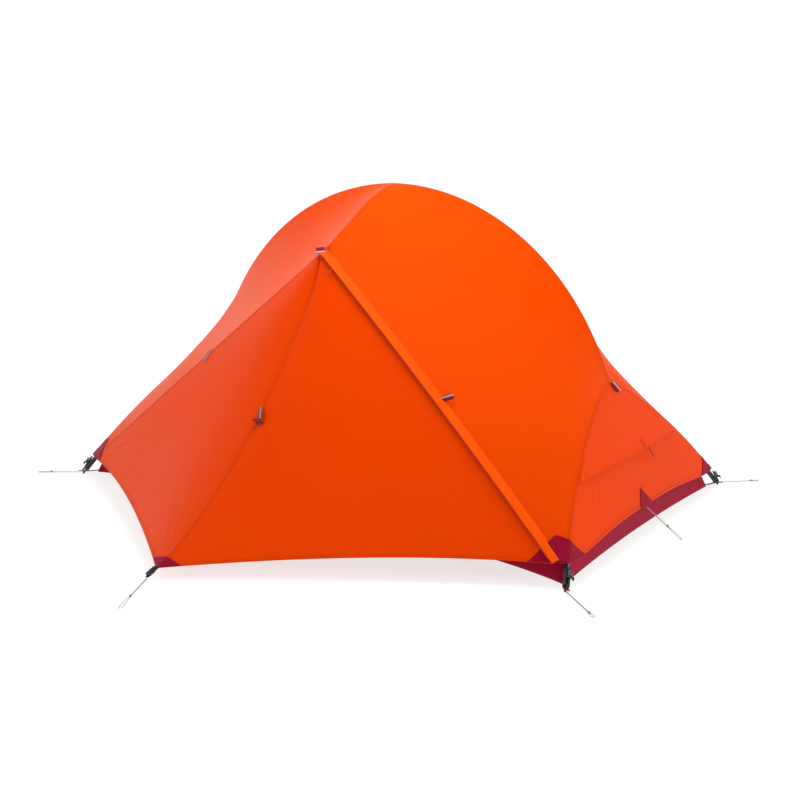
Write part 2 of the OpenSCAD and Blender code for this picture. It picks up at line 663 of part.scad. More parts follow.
// Each end is a flat sheet over the legs: an upper hood that ends in a visor, and a lower sheet
// that starts behind it.
lower_up = fly_off;
end_up = lower_up + 5;
visor_gap = 3;
visor_lap = 30;
end_trim = 4;
function end_half_width(s) = lookup(s, [for (k = [20:-1:0])
    let (p = leg_2d(k / 20, fly_off)) [p[1], p[0]]]);
module end_sheet(s0, s1, up, trim, arch = 0) {
    right = [for (k = [0:edge_steps]) let (s = mix(s0, s1, k / edge_steps))
        [end_half_width(s) - trim, s]];
    bottom = [for (k = [-6:6]) [k / 7 * right[0][0], s0 + arch * (1 - pow(k / 7, 2))]];
    in_end_plane() translate([0, 0, up]) linear_extrude(cloth_t, center = true)
        polygon(concat(right, [for (k = [edge_steps:-1:0]) [-right[k][0], right[k][1]]], bottom));
}
hood_top_s = leg_slope - 14;
hem_s = slope_at(57);
hem_arch = 42;
module end_panel() {
    end_sheet(slope_at(visor_fold_z) + visor_gap, hood_top_s, end_up, end_trim);
    end_sheet(hem_s, slope_at(visor_fold_z) + visor_lap, lower_up, end_trim, hem_arch);
}
module fly_end_right() color("#e8502a") end_panel();
module fly_end_left() color("#e8502a") rotate([0, 0, 180]) end_panel();
module visor() end_sheet(slope_at(visor_z), slope_at(visor_fold_z), end_up, end_trim);
module vent_visor_right() color("#f07038") visor();
module vent_visor_left() color("#f07038") rotate([0, 0, 180]) visor();

// Crimson reinforcing patches at the fly's corners and in the middle of its end hems.
patch_t = 1;
patch_clear = 1.2;
patch_up_leg = 0.11;
patch_reach = 70;
hem_patch_half = 46;
hem_patch_h = 78;
module end_plate(points, up) in_end_plane() translate([0, 0, up])
    linear_extrude(patch_t) polygon(points);
module corner_patch() {
    outer = leg_2d(fly_corner_t, fly_off - 13);
    up_leg = leg_2d(fly_corner_t - patch_up_leg, fly_off - 13);
    along_hem = [outer[0] - patch_reach, hem_s + 12];
    end_plate([outer, up_leg, [up_leg[0] - 38, up_leg[1] - 14], along_hem],
        lower_up + cloth_t / 2 + patch_clear);
}
module hem_patch() {
    hem = hem_s + hem_arch + 2;
    end_plate([[-hem_patch_half, hem], [hem_patch_half, hem], [0, hem + hem_patch_h]],
        lower_up + cloth_t / 2 + patch_clear);
}
module corner_patches() {
    color("#a01838") {
        four_corners() corner_patch();
        both_ends() hem_patch();
    }
}

// Black webbing from the fly's corners down to the foot sleeves, and out of each vestibule corner.
strap_clear = 3.4;
strap_head = flip_y(leg_point(fly_corner_t + 0.02, 4, fly_off + 2));
strap_foot = flip_y(leg_point(sleeve_foot_t - 0.004, 0, sleeve_r + strap_clear));
end_out = [cos(leg_lean), 0, sin(leg_lean)];
module corner_strap() strap(strap_head, strap_foot, 14, end_out);
vest_strap_in = [0, -3, -2];
vest_strap_out = [0, -38, -15];
module vestibule_strap() {
    start = vestibule_corner + vest_strap_in;
    strap(start, start + vest_strap_out, 14, [0, 0, 1]);
}
module fly_corner_straps() {
    color("#181818") {
        four_corners() corner_strap();
        both_ends() vestibule_strap();
    }
}

// Ladder-lock buckles that the straps pass over.
buckle = [24, 22, 5];
module buckle_plate() {
    difference() {
        translate([-buckle[0] / 2, -buckle[1] / 2, 0]) cube(buckle);
        for (x = [-1, 1]) translate([x * 5.5 - 2, -buckle[1] / 2 + 3, -1])
            cube([4, buckle[1] - 6, buckle[2] + 2]);
    }
}
module on_strap(from, to, share, along) {
    way = unit(to - from);
    side = unit(cross(way, along));
    up = cross(side, way);
    base = mix(from, to, share) + up * (strap_t / 2 + 0.4);
    multmatrix([
        [way[0], side[0], up[0], base[0]],
        [way[1], side[1], up[1], base[1]],
        [way[2], side[2], up[2], base[2]],
        [0, 0, 0, 1]
    ]) children();
}
module corner_buckle() on_strap(strap_head, strap_foot, 0.34, end_out) buckle_plate();
module vestibule_buckle() {
    start = vestibule_corner + vest_strap_in;
    on_strap(start, start + vest_strap_out, 0.52, [0, 0, 1]) buckle_plate();
}
module strap_buckles() {
    color("#101010") {
        four_corners() corner_buckle();
        both_ends() vestibule_buckle();
    }
}

// Webbing tabs that a guyline can be tied to.
tab_l = 30;
module guy_tab(at, towards) {
    way = unit(towards);
    strap(at + way * 3, at + way * (3 + tab_l), 12, [0.2, 0, 1]);
}
module side_tabs() {
    guy_tab(brow_end + [0, -4, 8], [-0.25, -0.8, -0.2]);
    guy_tab(zip_at(0.522, flap_w - flap_overhang + 2, flap_up), zip_w + zip_n * 0.35);
    guy_tab(seam_line(0.533) + [-10, -10, 8], [-0.35, -1, -0.1]);
}
seam_tab_s = 0.48;
module left_seam_tab() {
    mirror([1, 0, 0]) guy_tab(zip_at(seam_tab_s) + zip_n * 4, zip_n + [0, 0, -0.3]);
}
module end_tab() guy_tab(on_end([0, leg_slope - 22], end_up + 4), [1, 0, -0.35]);
module guy_tabs() color("#b01830") both_ends() {
    side_tabs();
    left_seam_tab();
    end_tab();
}

// ---- guylines ---------------------------------------------------------------------------------

cord_d = 2.2;
strand = 1.4;
loop_half = 5;
// A guyline is one cord doubled back on itself and knotted, with a small open loop for a stake.
function guy_route(from, to, knot) =
    let (way = to - from, side = unit(cross(way, [0, 0, 1])), back = unit(way) * 4.5)
    [
        from + side * strand,
        mix(from, to, knot) + side * strand,
        mix(from, to, (1 + knot) / 2) + side * loop_half,
        to - back + side * loop_half,
        to,
        to - back - side * loop_half,
        mix(from, to, (1 + knot) / 2) - side * loop_half,
        mix(from, to, knot) - side * strand,
        from - side * strand
    ];
module guyline(from, to, knot) color("#b09098") swept(guy_route(from, to, knot), cord_d);

corner_guy_from = [1112, -686, 9];
corner_guy_to = [1255, -796, 3];
left_guy_to = [-1264, -766, 3];
back_guy_to = [1218, 812, 3];
vestibule_guy_from = [4, -1347, 17];
vestibule_guy_to = [84, -1530, 3];
end_guy_from = [1086, -20, 92];
end_guy_to = [1222, -30, 3];
function turned(p) = [-p[0], -p[1], p[2]];
function flip_x(p) = [-p[0], p[1], p[2]];
module guyline_front_right() guyline(corner_guy_from, corner_guy_to, 0.84);
module guyline_back_right() guyline(flip_y(corner_guy_from), back_guy_to, 0.8);
module guyline_front_left() guyline(flip_x(corner_guy_from), left_guy_to, 0.68);
module guyline_back_left() guyline(turned(corner_guy_from), turned(corner_guy_to), 0.8);
module guyline_vestibule_front() guyline(vestibule_guy_from, vestibule_guy_to, 0.62);
module guyline_vestibule_back() guyline(turned(vestibule_guy_from), turned(vestibule_guy_to), 0.62);
module guyline_right_end() guyline(end_guy_from, end_guy_to, 0.6);
module guyline_left_end() guyline(turned(end_guy_from), turned(end_guy_to), 0.6);

// ---- what is drawn ----------------------------------------------------------------------------

ridge_section(0);  // ridge_pole_section_1
ridge_section(1);  // ridge_pole_section_2
ridge_section(2);  // ridge_pole_section_3
ridge_section(3);  // ridge_pole_section_4
ridge_section(4);  // ridge_pole_section_5
hub_right();
hub_left();
leg_pole(0, 1);  // leg_pole_front_right
leg_pole(0, 0);  // leg_pole_back_right
leg_pole(1, 1);  // leg_pole_front_left
leg_pole(1, 0);  // leg_pole_back_left
brow_pole_centre();
brow_pole_ends();
brow_swivel();
pole_ferrules();
shock_cords();
pole_tips();
foot_sleeves();
inner_floor();
inner_canopy_right();
inner_canopy_left();
inner_wall_front();
inner_wall_back();
inner_door_front();
inner_door_back();
inner_zip_pull_front();
inner_zip_pull_back();
pole_clips();
floor_corner_straps();
fly_roof_front_right();
fly_roof_front_left();
fly_roof_back_left();
fly_roof_back_right();
fly_end_right();
fly_end_left();
vent_visor_right();
vent_visor_left();
vestibule_panel_front();
vestibule_panel_back();
door_front();
door_back();
zip_tapes();
storm_flap_front();
storm_flap_back();
zip_top_slider_front();
zip_bottom_slider_front();
zip_top_slider_back();
zip_bottom_slider_back();
corner_patches();
fly_corner_straps();
strap_buckles();
guy_tabs();
guyline_front_right();
guyline_back_right();
guyline_front_left();
guyline_back_left();
guyline_vestibule_front();
guyline_vestibule_back();
guyline_right_end();
guyline_left_end();
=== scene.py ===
import math

import bpy
import numpy as np
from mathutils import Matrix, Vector


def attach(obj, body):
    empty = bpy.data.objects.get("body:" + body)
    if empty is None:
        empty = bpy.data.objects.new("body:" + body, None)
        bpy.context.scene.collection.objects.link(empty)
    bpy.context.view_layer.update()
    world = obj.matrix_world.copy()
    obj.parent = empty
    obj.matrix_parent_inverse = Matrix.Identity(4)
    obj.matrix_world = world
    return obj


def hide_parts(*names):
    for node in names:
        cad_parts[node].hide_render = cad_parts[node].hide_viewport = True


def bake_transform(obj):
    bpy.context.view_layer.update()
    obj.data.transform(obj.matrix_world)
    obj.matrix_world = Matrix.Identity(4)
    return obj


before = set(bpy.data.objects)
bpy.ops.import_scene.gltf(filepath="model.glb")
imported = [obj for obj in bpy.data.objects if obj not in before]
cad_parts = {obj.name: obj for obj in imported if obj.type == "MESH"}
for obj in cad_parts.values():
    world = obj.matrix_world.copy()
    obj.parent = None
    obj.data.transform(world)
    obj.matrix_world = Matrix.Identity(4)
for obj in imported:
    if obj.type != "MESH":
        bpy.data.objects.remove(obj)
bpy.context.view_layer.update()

# All lengths are in metres. The frame's curves repeat the CAD part's own driving dimensions.

# ---- camera, light and floor --------------------------------------------------------------------


def direction(azimuth, elevation):
    """The way from the tent to a point at this azimuth and elevation, in degrees."""
    a, e = math.radians(azimuth), math.radians(elevation)
    return Vector((math.sin(a) * math.cos(e), -math.cos(a) * math.cos(e), math.sin(e)))


def link(name, data):
    obj = bpy.data.objects.new(name, data)
    bpy.context.scene.collection.objects.link(obj)
    return obj


def aim(obj, back):
    """Turns a camera or a light to look away from back."""
    obj.rotation_euler = (-back).to_track_quat("-Z", "Y").to_euler()


LENS, SENSOR_WIDTH = 50.857, 36
CAMERA_AZIMUTH, CAMERA_ELEVATION, CAMERA_DISTANCE = 34.783, 12.95, 4.5
CAMERA_AIM = Vector((0.023, 0, 0.332))
LIGHT_AIM = Vector((0, 0, 0.5))


def make_camera():
    camera = link("camera", bpy.data.cameras.new("camera"))
    camera.data.lens = LENS
    camera.data.sensor_width = SENSOR_WIDTH
    back = direction(CAMERA_AZIMUTH, CAMERA_ELEVATION)
    camera.location = CAMERA_AIM + back * CAMERA_DISTANCE
    aim(camera, back)
    bpy.context.scene.camera = camera


def make_area_light(name, azimuth, elevation, distance, size, power):
    light = link(name, bpy.data.lights.new(name, "AREA"))
    light.data.shape = "DISK"
    light.data.size = size
    light.data.energy = power
    back = direction(azimuth, elevation)
    light.location = LIGHT_AIM + back * distance
    aim(light, back)


WARM_WHITE = (1, 0.88, 0.70)


def make_sun(name, azimuth, elevation, strength, spread, tint=(1, 1, 1)):
    light = link(name, bpy.data.lights.new(name, "SUN"))
    light.data.energy = strength
    light.data.color = tint
    light.data.angle = math.radians(spread)
    aim(light, direction(azimuth, elevation))


def make_sky():
    """A white studio: full white round the sides, a little dimmer overhead."""
    world = bpy.data.worlds.new("studio")
    bpy.context.scene.world = world
    world.use_nodes = True
    tree = world.node_tree
    height = node(tree, "SeparateXYZ", {0: node(tree, "TexCoord").outputs["Generated"]}).outputs[2]
    strength = ramp_range(tree, height, 0.25, 0.75, 1.02, 0.35)
    tree.links.new(strength, tree.nodes["Background"].inputs["Strength"])
    tree.nodes["Background"].inputs["Color"].default_value = (1, 1, 1, 1)


STAGE_HALF, STAGE_DROP = 40, 0.0008


def make_stage():
    bpy.context.scene.view_settings.view_transform = "Standard"
    make_sky()
    make_sun("front_light", -45, 35, 0.7, 50)
    make_sun("left_rim_light", -118, 22, 0.85, 50, WARM_WHITE)
    make_sun("right_rim_light", 125, 22, 1.4, 50)
    make_area_light("soft_box", 58, 70, 1.95, 1.4, 26)
    corners = [(x * STAGE_HALF, y * STAGE_HALF, 0) for x, y in ((-1, -1), (1, -1), (1, 1), (-1, 1))]
    mesh = bpy.data.meshes.new("studio_floor")
    mesh.from_pydata(corners, [], [(0, 1, 2, 3)])
    floor = link("studio_floor", mesh)
    floor.location.z = -STAGE_DROP
    floor.data.materials.append(floor_material())


# ---- materials ----------------------------------------------------------------------------------


def colour(code):
    """A hex colour as linear red, green, blue and alpha."""
    values = [int(code[i : i + 2], 16) / 255 for i in (0, 2, 4)]
    return (*[v / 12.92 if v <= 0.04045 else ((v + 0.055) / 1.055) ** 2.4 for v in values], 1)


def scaled(rgba, share):
    return (*[c * share for c in rgba[:3]], 1)


def new_material(name):
    material = bpy.data.materials.new(name)
    material.use_nodes = True
    return material, material.node_tree, material.node_tree.nodes["Principled BSDF"]


def node(tree, kind, inputs=None, **settings):
    """Adds a shader node. inputs maps a socket to a value or to the socket that feeds it."""
    made = tree.nodes.new("ShaderNode" + kind)
    for key, value in settings.items():
        setattr(made, key, value)
    for key, value in (inputs or {}).items():
        if isinstance(value, bpy.types.NodeSocket):
            tree.links.new(value, made.inputs[key])
        else:
            made.inputs[key].default_value = value
    return made


def maths(tree, operation, a, b=0.0):
    return node(tree, "Math", {0: a, 1: b}, operation=operation).outputs[0]


def ramp_range(tree, value, low, high, out_low, out_high):
    inputs = {"Value": value, "From Min": low, "From Max": high, "To Min": out_low, "To Max": out_high}
    return node(tree, "MapRange", inputs, interpolation_type="SMOOTHSTEP").outputs[0]


def noise(tree, vector, scale, detail=3.0, stretch=(1, 1, 1)):
    mapped = node(tree, "Mapping", {"Vector": vector, "Scale": stretch}).outputs[0]
    return node(tree, "TexNoise", {"Vector": mapped, "Scale": scale, "Detail": detail}).outputs["Fac"]


def paint(tree, shader, tone):
    tree.links.new(tone, shader.inputs["Base Color"])


def roughen(tree, shader, value):
    tree.links.new(value, shader.inputs["Roughness"])


def mix_tone(tree, factor, a, b):
    made = tree.nodes.new("ShaderNodeMix")
    made.data_type = "RGBA"
    for key, value in ((0, factor), (6, a), (7, b)):
        if isinstance(value, bpy.types.NodeSocket):
            tree.links.new(value, made.inputs[key])
        else:
            made.inputs[key].default_value = value
    return made.outputs[2]


def bump(tree, shader, height, distance):
    made = node(tree, "Bump", {"Height": height, "Distance": distance, "Strength": 1.0})
    tree.links.new(made.outputs[0], shader.inputs["Normal"])


def lines(tree, value, pitch, share):
    """1 on thin lines that repeat along a coordinate, 0 between them."""
    phase = maths(tree, "FRACT", maths(tree, "DIVIDE", value, pitch))
    away = maths(tree, "ABSOLUTE", maths(tree, "SUBTRACT", phase, 0.5))
    return ramp_range(tree, away, 0.5 - share, 0.5, 0.0, 1.0)


def cloth_uv(tree):
    uv = node(tree, "UVMap", uv_map="cloth").outputs[0]
    parts = node(tree, "SeparateXYZ", {0: uv})
    return uv, parts.outputs[0], parts.outputs[1]


def ripstop_material(name, code, roughness=0.46, gloss=0.08, tint=(1, 1, 1)):
    """Coated ripstop: a fine square grid of thicker threads, puckers at the seams with painted shade
    darkening the cloth near them, uneven dye.
    """
    base = colour(code)
    cell = 0.005
    material, tree, shader = new_material(name)
    uv, u, v = cloth_uv(tree)
    place = node(tree, "TexCoord").outputs["Object"]
    grid = maths(tree, "MAXIMUM", lines(tree, u, cell, 0.09), lines(tree, v, cell, 0.09))
    weave = noise(tree, uv, 2600, 1.0, (1, 0.35, 1))
    cloudy = noise(tree, place, 2.3, 4.0)
    seam = node(tree, "Attribute", attribute_name="seam_m").outputs["Fac"]
    near = ramp_range(tree, seam, 0.0, 0.030, 1.0, 0.0)
    varied_tone = mix_tone(tree, cloudy, scaled(base, 0.93), scaled(base, 1.04))
    threaded = mix_tone(tree, maths(tree, "MULTIPLY", grid, 0.35), varied_tone, scaled(base, 0.9))
    # Painted shade: the cloth is painted darker within 30 mm of a seam, as if shaded in its puckers.
    sewn = mix_tone(tree, maths(tree, "MULTIPLY", near, 0.22), threaded, scaled(base, 0.7))
    paint(tree, shader, sewn)
    pucker = maths(tree, "MULTIPLY", noise(tree, uv, 70, 2.0), maths(tree, "MULTIPLY", near, 0.9))
    fine = maths(tree, "ADD", maths(tree, "MULTIPLY", grid, 0.10), maths(tree, "MULTIPLY", weave, 0.06))
    soft = maths(tree, "MULTIPLY", noise(tree, place, 9, 3.0), 0.55)
    height = maths(tree, "ADD", maths(tree, "ADD", fine, pucker), soft)
    bump(tree, shader, height, 0.0016)
    uneven = maths(tree, "ADD", cloudy, maths(tree, "MULTIPLY", weave, 0.3))
    roughen(tree, shader, ramp_range(tree, uneven, 0.2, 1.0, roughness - 0.05, roughness + 0.09))
    shader.inputs["Specular IOR Level"].default_value = gloss
    shader.inputs["Specular Tint"].default_value = (*tint, 1)
    return material


def mesh_material(name, code, alpha):
    """Fine insect netting that shows what is behind it."""
    base = colour(code)
    material, tree, shader = new_material(name)
    _, u, v = cloth_uv(tree)
    cell, thread = 0.0024, 0.2
    grid = maths(tree, "MAXIMUM", lines(tree, u, cell, thread), lines(tree, v, cell, thread))
    paint(tree, shader, mix_tone(tree, grid, scaled(base, 0.8), base))
    bump(tree, shader, grid, 0.0004)
    shader.inputs["Roughness"].default_value = 0.8
    shader.inputs["Alpha"].default_value = alpha
    return material


def webbing_material(name, code, rib=0.0022, groove_shade=0.55):
    """Woven strap with ribs across it and painted shade in the grooves between them, a plain edge and
    slightly worn high threads.
    """
    base = colour(code)
    material, tree, shader = new_material(name)
    uv, u, v = cloth_uv(tree)
    ribs = lines(tree, u, rib, 0.32)
    rows = lines(tree, v, 0.0016, 0.25)
    worn = noise(tree, uv, 260, 4.0)
    # Painted shade: the lines that the bump sinks between the ribs are painted darker.
    woven = mix_tone(tree, ribs, base, scaled(base, groove_shade))
    faded = tuple(min(1, 0.02 + c * 1.5) for c in base[:3]) + (1,)
    paint(tree, shader, mix_tone(tree, maths(tree, "MULTIPLY", worn, 0.25), woven, faded))
    bump(tree, shader, maths(tree, "SUBTRACT", worn, maths(tree, "ADD", ribs, rows)), 0.0005)
    shader.inputs["Roughness"].default_value = 0.72
    shader.inputs["Sheen Weight"].default_value = 0.08
    shader.inputs["Specular IOR Level"].default_value = 0.25
    return material


def cord_material(name, dark, light):
    """Braided cord: two threads that wind round it, one of them reflective."""
    material, tree, shader = new_material(name)
    uv, u, v = cloth_uv(tree)
    pitch, thread = 0.0032, 0.16
    one = lines(tree, maths(tree, "ADD", u, v), pitch, thread)
    other = lines(tree, maths(tree, "SUBTRACT", u, v), pitch, thread)
    braid = maths(tree, "MAXIMUM", one, other)
    fuzz = noise(tree, uv, 900, 2.0)
    paint(tree, shader, mix_tone(tree, braid, colour(light), colour(dark)))
    bump(tree, shader, maths(tree, "ADD", braid, fuzz), 0.0003)
    shader.inputs["Roughness"].default_value = 0.5
    return material


def plastic_material(name, code, roughness=0.38):
    """Moulded plastic with a fine spark-eroded grain and rubbed high spots."""
    base = colour(code)
    material, tree, shader = new_material(name)
    place = node(tree, "TexCoord").outputs["Object"]
    grain = noise(tree, place, 1400, 2.0)
    patches = noise(tree, place, 60, 3.0)
    paint(tree, shader, mix_tone(tree, patches, base, scaled(base, 1.6)))
    roughen(tree, shader, ramp_range(tree, patches, 0.2, 0.8, roughness - 0.08, roughness + 0.1))
    bump(tree, shader, grain, 0.00012)
    return material


def metal_material(name, code, roughness=0.3, metallic=1.0):
    """Drawn or anodised aluminium: a fine grain and faint handling marks."""
    base = colour(code)
    material, tree, shader = new_material(name)
    place = node(tree, "TexCoord").outputs["Object"]
    grain = noise(tree, place, 300, 2.0)
    marks = noise(tree, place, 35, 4.0)
    paint(tree, shader, mix_tone(tree, marks, scaled(base, 0.85), base))
    roughen(tree, shader, ramp_range(tree, grain, 0.3, 0.7, roughness - 0.07, roughness + 0.1))
    bump(tree, shader, grain, 0.00008)
    shader.inputs["Metallic"].default_value = metallic
    return material


def coil_material(name, tape, coil):
    """Zip tape with a nylon coil along its edge: u runs along the zip, v across it."""
    material, tree, shader = new_material(name)
    uv, u, v = cloth_uv(tree)
    on_coil = ramp_range(tree, v, 0.0018, 0.0024, 1.0, 0.0)
    turns = lines(tree, u, 0.0018, 0.3)
    weave = noise(tree, uv, 1400, 2.0)
    coloured = mix_tone(tree, on_coil, colour(tape), colour(coil))
    shaded = scaled(colour(tape), 0.5)
    paint(tree, shader, mix_tone(tree, maths(tree, "MULTIPLY", turns, 0.5), coloured, shaded))
    bump(tree, shader, maths(tree, "SUBTRACT", weave, maths(tree, "MULTIPLY", turns, on_coil)), 0.0004)
    shader.inputs["Roughness"].default_value = 0.6
    return material


def seam_material(name, code, thread):
    """Felled seam: folded cloth with two rows of stitches along it, and painted shade in the troughs of its
    ripples. v runs from -1 to 1 across it.
    """
    base = colour(code)
    material, tree, shader = new_material(name)
    uv, u, v = cloth_uv(tree)
    row_at, stitch_pitch = 0.62, 0.0038
    off_row = maths(tree, "ABSOLUTE", maths(tree, "SUBTRACT", maths(tree, "ABSOLUTE", v), row_at))
    row = ramp_range(tree, off_row, 0.05, 0.12, 1.0, 0.0)
    along = maths(tree, "FRACT", maths(tree, "DIVIDE", u, stitch_pitch))
    dash = ramp_range(tree, along, 0.68, 0.76, 1.0, 0.0)
    stitch = maths(tree, "MULTIPLY", row, dash)
    ripple = noise(tree, uv, 210, 2.0, (1, 0.01, 1))
    # Painted shade: where the ripple sinks the seam in the bump, its colour is painted darker.
    varied_tone = mix_tone(tree, ripple, scaled(base, 0.86), scaled(base, 1.02))
    paint(tree, shader, mix_tone(tree, stitch, varied_tone, colour(thread)))
    height = maths(tree, "SUBTRACT", maths(tree, "MULTIPLY", ripple, 0.8), maths(tree, "MULTIPLY", row, 0.7))
    bump(tree, shader, maths(tree, "ADD", height, stitch), 0.0008)
    shader.inputs["Roughness"].default_value = 0.5
    shader.inputs["Specular IOR Level"].default_value = 0.06
    shader.inputs["Specular Tint"].default_value = (*ORANGE_SHEEN, 1)
    return material


def floor_material():
    """A pale sweep that is lit from below as well, so that shadows on it stay soft and light."""
    material, tree, shader = new_material("studio_sweep")
    place = node(tree, "TexCoord").outputs["Object"]
    paint(tree, shader, mix_tone(tree, noise(tree, place, 1.5), colour("9a9a9a"), colour("a0a0a0")))
    shader.inputs["Emission Color"].default_value = (1, 1, 1, 1)
    shader.inputs["Emission Strength"].default_value = 0.72
    shader.inputs["Roughness"].default_value = 0.9
    shader.inputs["Specular IOR Level"].default_value = 0.1
    return material


ORANGE_SHEEN, CRIMSON_SHEEN = (1, 0.3, 0.02), (1, 0.4, 0.5)
FLY_ORANGE = ripstop_material("fly_orange", "dc3d01", gloss=0.04, tint=ORANGE_SHEEN)
# Painted light: the roof is the fly's own cloth, painted a little yellower to stand in for the stronger light
# that falls on it.
ROOF_LIT_ORANGE = ripstop_material("fly_roof_lit_orange", "dc4201", gloss=0.04, tint=ORANGE_SHEEN)
# Painted light: the storm flap is the fly's own cloth, painted brighter and yellower to stand in for the
# light that falls on it.
FLAP_LIT_ORANGE = ripstop_material("fly_flap_lit_orange", "f05004", 0.42, tint=ORANGE_SHEEN)
FLY_DOUBLED = ripstop_material("fly_doubled_orange", "c23204", tint=ORANGE_SHEEN)
PATCH_CRIMSON = ripstop_material("patch_crimson", "8c0c2c", 0.5, 0.05, CRIMSON_SHEEN)
FLOOR_CRIMSON = ripstop_material("floor_crimson", "96102f", 0.46, 0.05, CRIMSON_SHEEN)
INNER_CLOTH = ripstop_material("inner_ripstop", "d2cec6", 0.6, gloss=0.3)
INNER_NET = mesh_material("inner_netting", "c9c8c4", 0.72)
VENT_NET = mesh_material("vent_netting", "3a2a2a", 0.9)
BLACK_WEB = webbing_material("webbing_black", "131315")
CRIMSON_WEB = webbing_material("webbing_crimson", "8c0f28")
GUY_CORD = cord_material("guy_cord", "7a2e3c", "c0a6aa")
PULL_CORD = cord_material("pull_cord", "8a0f26", "c03048")
SHOCK_CORD = cord_material("shock_cord", "b8b8b4", "f0f0ec")
BLACK_PLASTIC = plastic_material("black_plastic", "17171a")
SLEEVE_PLASTIC = plastic_material("sleeve_plastic", "141417", 0.3)
POLE_METAL = metal_material("pole_anodised", "55565a", 0.34)
BARE_METAL = metal_material("bare_aluminium", "c9cacc", 0.28)
TIP_METAL = metal_material("tip_dark", "2a2a2c", 0.35)
PULL_RED = metal_material("zip_pull_red", "8e1226", 0.4, 0.2)
ZIP_COIL = coil_material("zip_coil", "b3202c", "5a1018")
INNER_COIL = coil_material("inner_zip_coil", "b9b7b2", "7c1a2a")
SEAM_ORANGE = seam_material("seam_orange", "d83c01", "b83001")
STRIPE_WEB = webbing_material("webbing_stripe", "d9cfd2", 0.0012, 0.8)

# ---- meshes -------------------------------------------------------------------------------------


def unit(v):
    return v / np.maximum(np.linalg.norm(v, axis=-1, keepdims=True), 1e-12)


def mix(a, b, t):
    t = np.asarray(t, float)[..., None]
    return np.asarray(a) * (1 - t) + np.asarray(b) * t


def smoothstep(x):
    x = np.clip(x, 0, 1)
    return x * x * (3 - 2 * x)


def quads(index):
    """The faces between the rows and columns of a grid of point numbers."""
    return np.stack([index[:-1, :-1], index[1:, :-1], index[1:, 1:], index[:-1, 1:]], -1).reshape(-1, 4)


def grid_faces(rows, columns):
    return quads(np.arange(rows * columns).reshape(rows, columns))


def tube_faces(rows, columns):
    """The faces of a grid whose last column joins its first."""
    index = np.arange(rows * columns).reshape(rows, columns)
    wrapped = np.roll(index, -1, 1)
    return np.stack([index[:-1], index[1:], wrapped[1:], wrapped[:-1]], -1).reshape(-1, 4)


def run_length(path):
    """How far along a line of points each point lies."""
    return np.concatenate([[0], np.cumsum(np.linalg.norm(np.diff(path, axis=0), axis=1))])


def pair_up(along, across):
    """A uv pair for each point of a grid, from the values of its rows and of its columns."""
    return np.stack(np.broadcast_arrays(along, across), -1).reshape(-1, 2)


def lay_uv(mesh, uv):
    layer = mesh.uv_layers.new(name="cloth")
    corners = np.zeros(len(mesh.loops), int)
    mesh.loops.foreach_get("vertex_index", corners)
    layer.data.foreach_set("uv", uv[corners].astype(np.float32).ravel())


def face_normals(points, faces):
    a, b = points[faces[:, 2]] - points[faces[:, 0]], points[faces[:, 3]] - points[faces[:, 1]]
    return np.cross(a, b)


def vertex_normals(points, faces):
    total = np.zeros_like(points)
    normals = face_normals(points, faces)
    for corner in range(4):
        np.add.at(total, faces[:, corner], normals)
    return unit(total)


def facing(points, faces, away_from):
    """The faces, turned to point away from a point inside."""
    normals = face_normals(points, faces)
    centres = points[faces].mean(1)
    if ((centres - away_from) * normals).sum() < 0:
        return faces[:, ::-1]
    return faces


def rim_edges(faces):
    """The directed edges that only one face has."""
    pairs = {(f[k], f[(k + 1) % 4]) for f in faces.tolist() for k in range(4)}
    return sorted(p for p in pairs if p[::-1] not in pairs and p[0] != p[1])


def clean(face):
    """A face without repeated corners."""
    kept = [v for k, v in enumerate(face) if v != face[k - 1]]
    return tuple(kept) if len(kept) > 2 else None


def build(name, points, faces, material, uv=None, seam=None, normals=None, thickness=0.0, away=None):
    """A mesh object from points and quads. With thickness it is a closed shell."""
    points, faces = np.asarray(points, float), np.asarray(faces)
    if away is not None:
        faces = facing(points, faces, away)
    count = len(points)
    if thickness:
        inward = vertex_normals(points, faces) if normals is None else normals
        rim = [(b, a, a + count, b + count) for a, b in rim_edges(faces)]
        points = np.concatenate([points, points - inward * thickness])
        faces = np.concatenate([faces, faces[:, ::-1] + count, np.array(rim).reshape(-1, 4)])
        uv = None if uv is None else np.concatenate([uv, uv])
        seam = None if seam is None else np.concatenate([seam, seam])
    mesh = bpy.data.meshes.new(name)
    mesh.from_pydata(points.tolist(), [], [f for f in map(clean, faces.tolist()) if f])
    mesh.shade_smooth()
    if uv is not None:
        lay_uv(mesh, uv)
    if seam is not None:
        layer = mesh.attributes.new("seam_m", "FLOAT", "POINT")
        layer.data.foreach_set("value", seam.astype(np.float32))
    if normals is not None and thickness:
        mesh.normals_split_custom_set_from_vertices(np.concatenate([normals, -normals]).tolist())
    obj = link(name, mesh)
    obj.data.materials.append(material)
    return obj


def surface_uv(grid):
    """Lengths along both ways of a grid, so that the weave keeps its size."""
    along = np.linalg.norm(np.diff(grid, axis=0), axis=-1)
    down = np.linalg.norm(np.diff(grid, axis=1), axis=-1)
    u = np.concatenate([np.zeros((1, grid.shape[1])), np.cumsum(along, 0)])
    v = np.concatenate([np.zeros((grid.shape[0], 1)), np.cumsum(down, 1)], 1)
    return np.stack([u - u[-1:] / 2, v], -1)


def grid_lengths(grid):
    """How far each point lies down its column and along its row."""
    uv = surface_uv(grid)
    return uv[..., 0] - uv[:1, :, 0], uv[..., 1]


def edge_distance(grid):
    u, v = grid_lengths(grid)
    return np.minimum(np.minimum(u, u[-1:] - u), np.minimum(v, v[:, -1:] - v))


INSIDE = np.array([0, 0, 0.3])


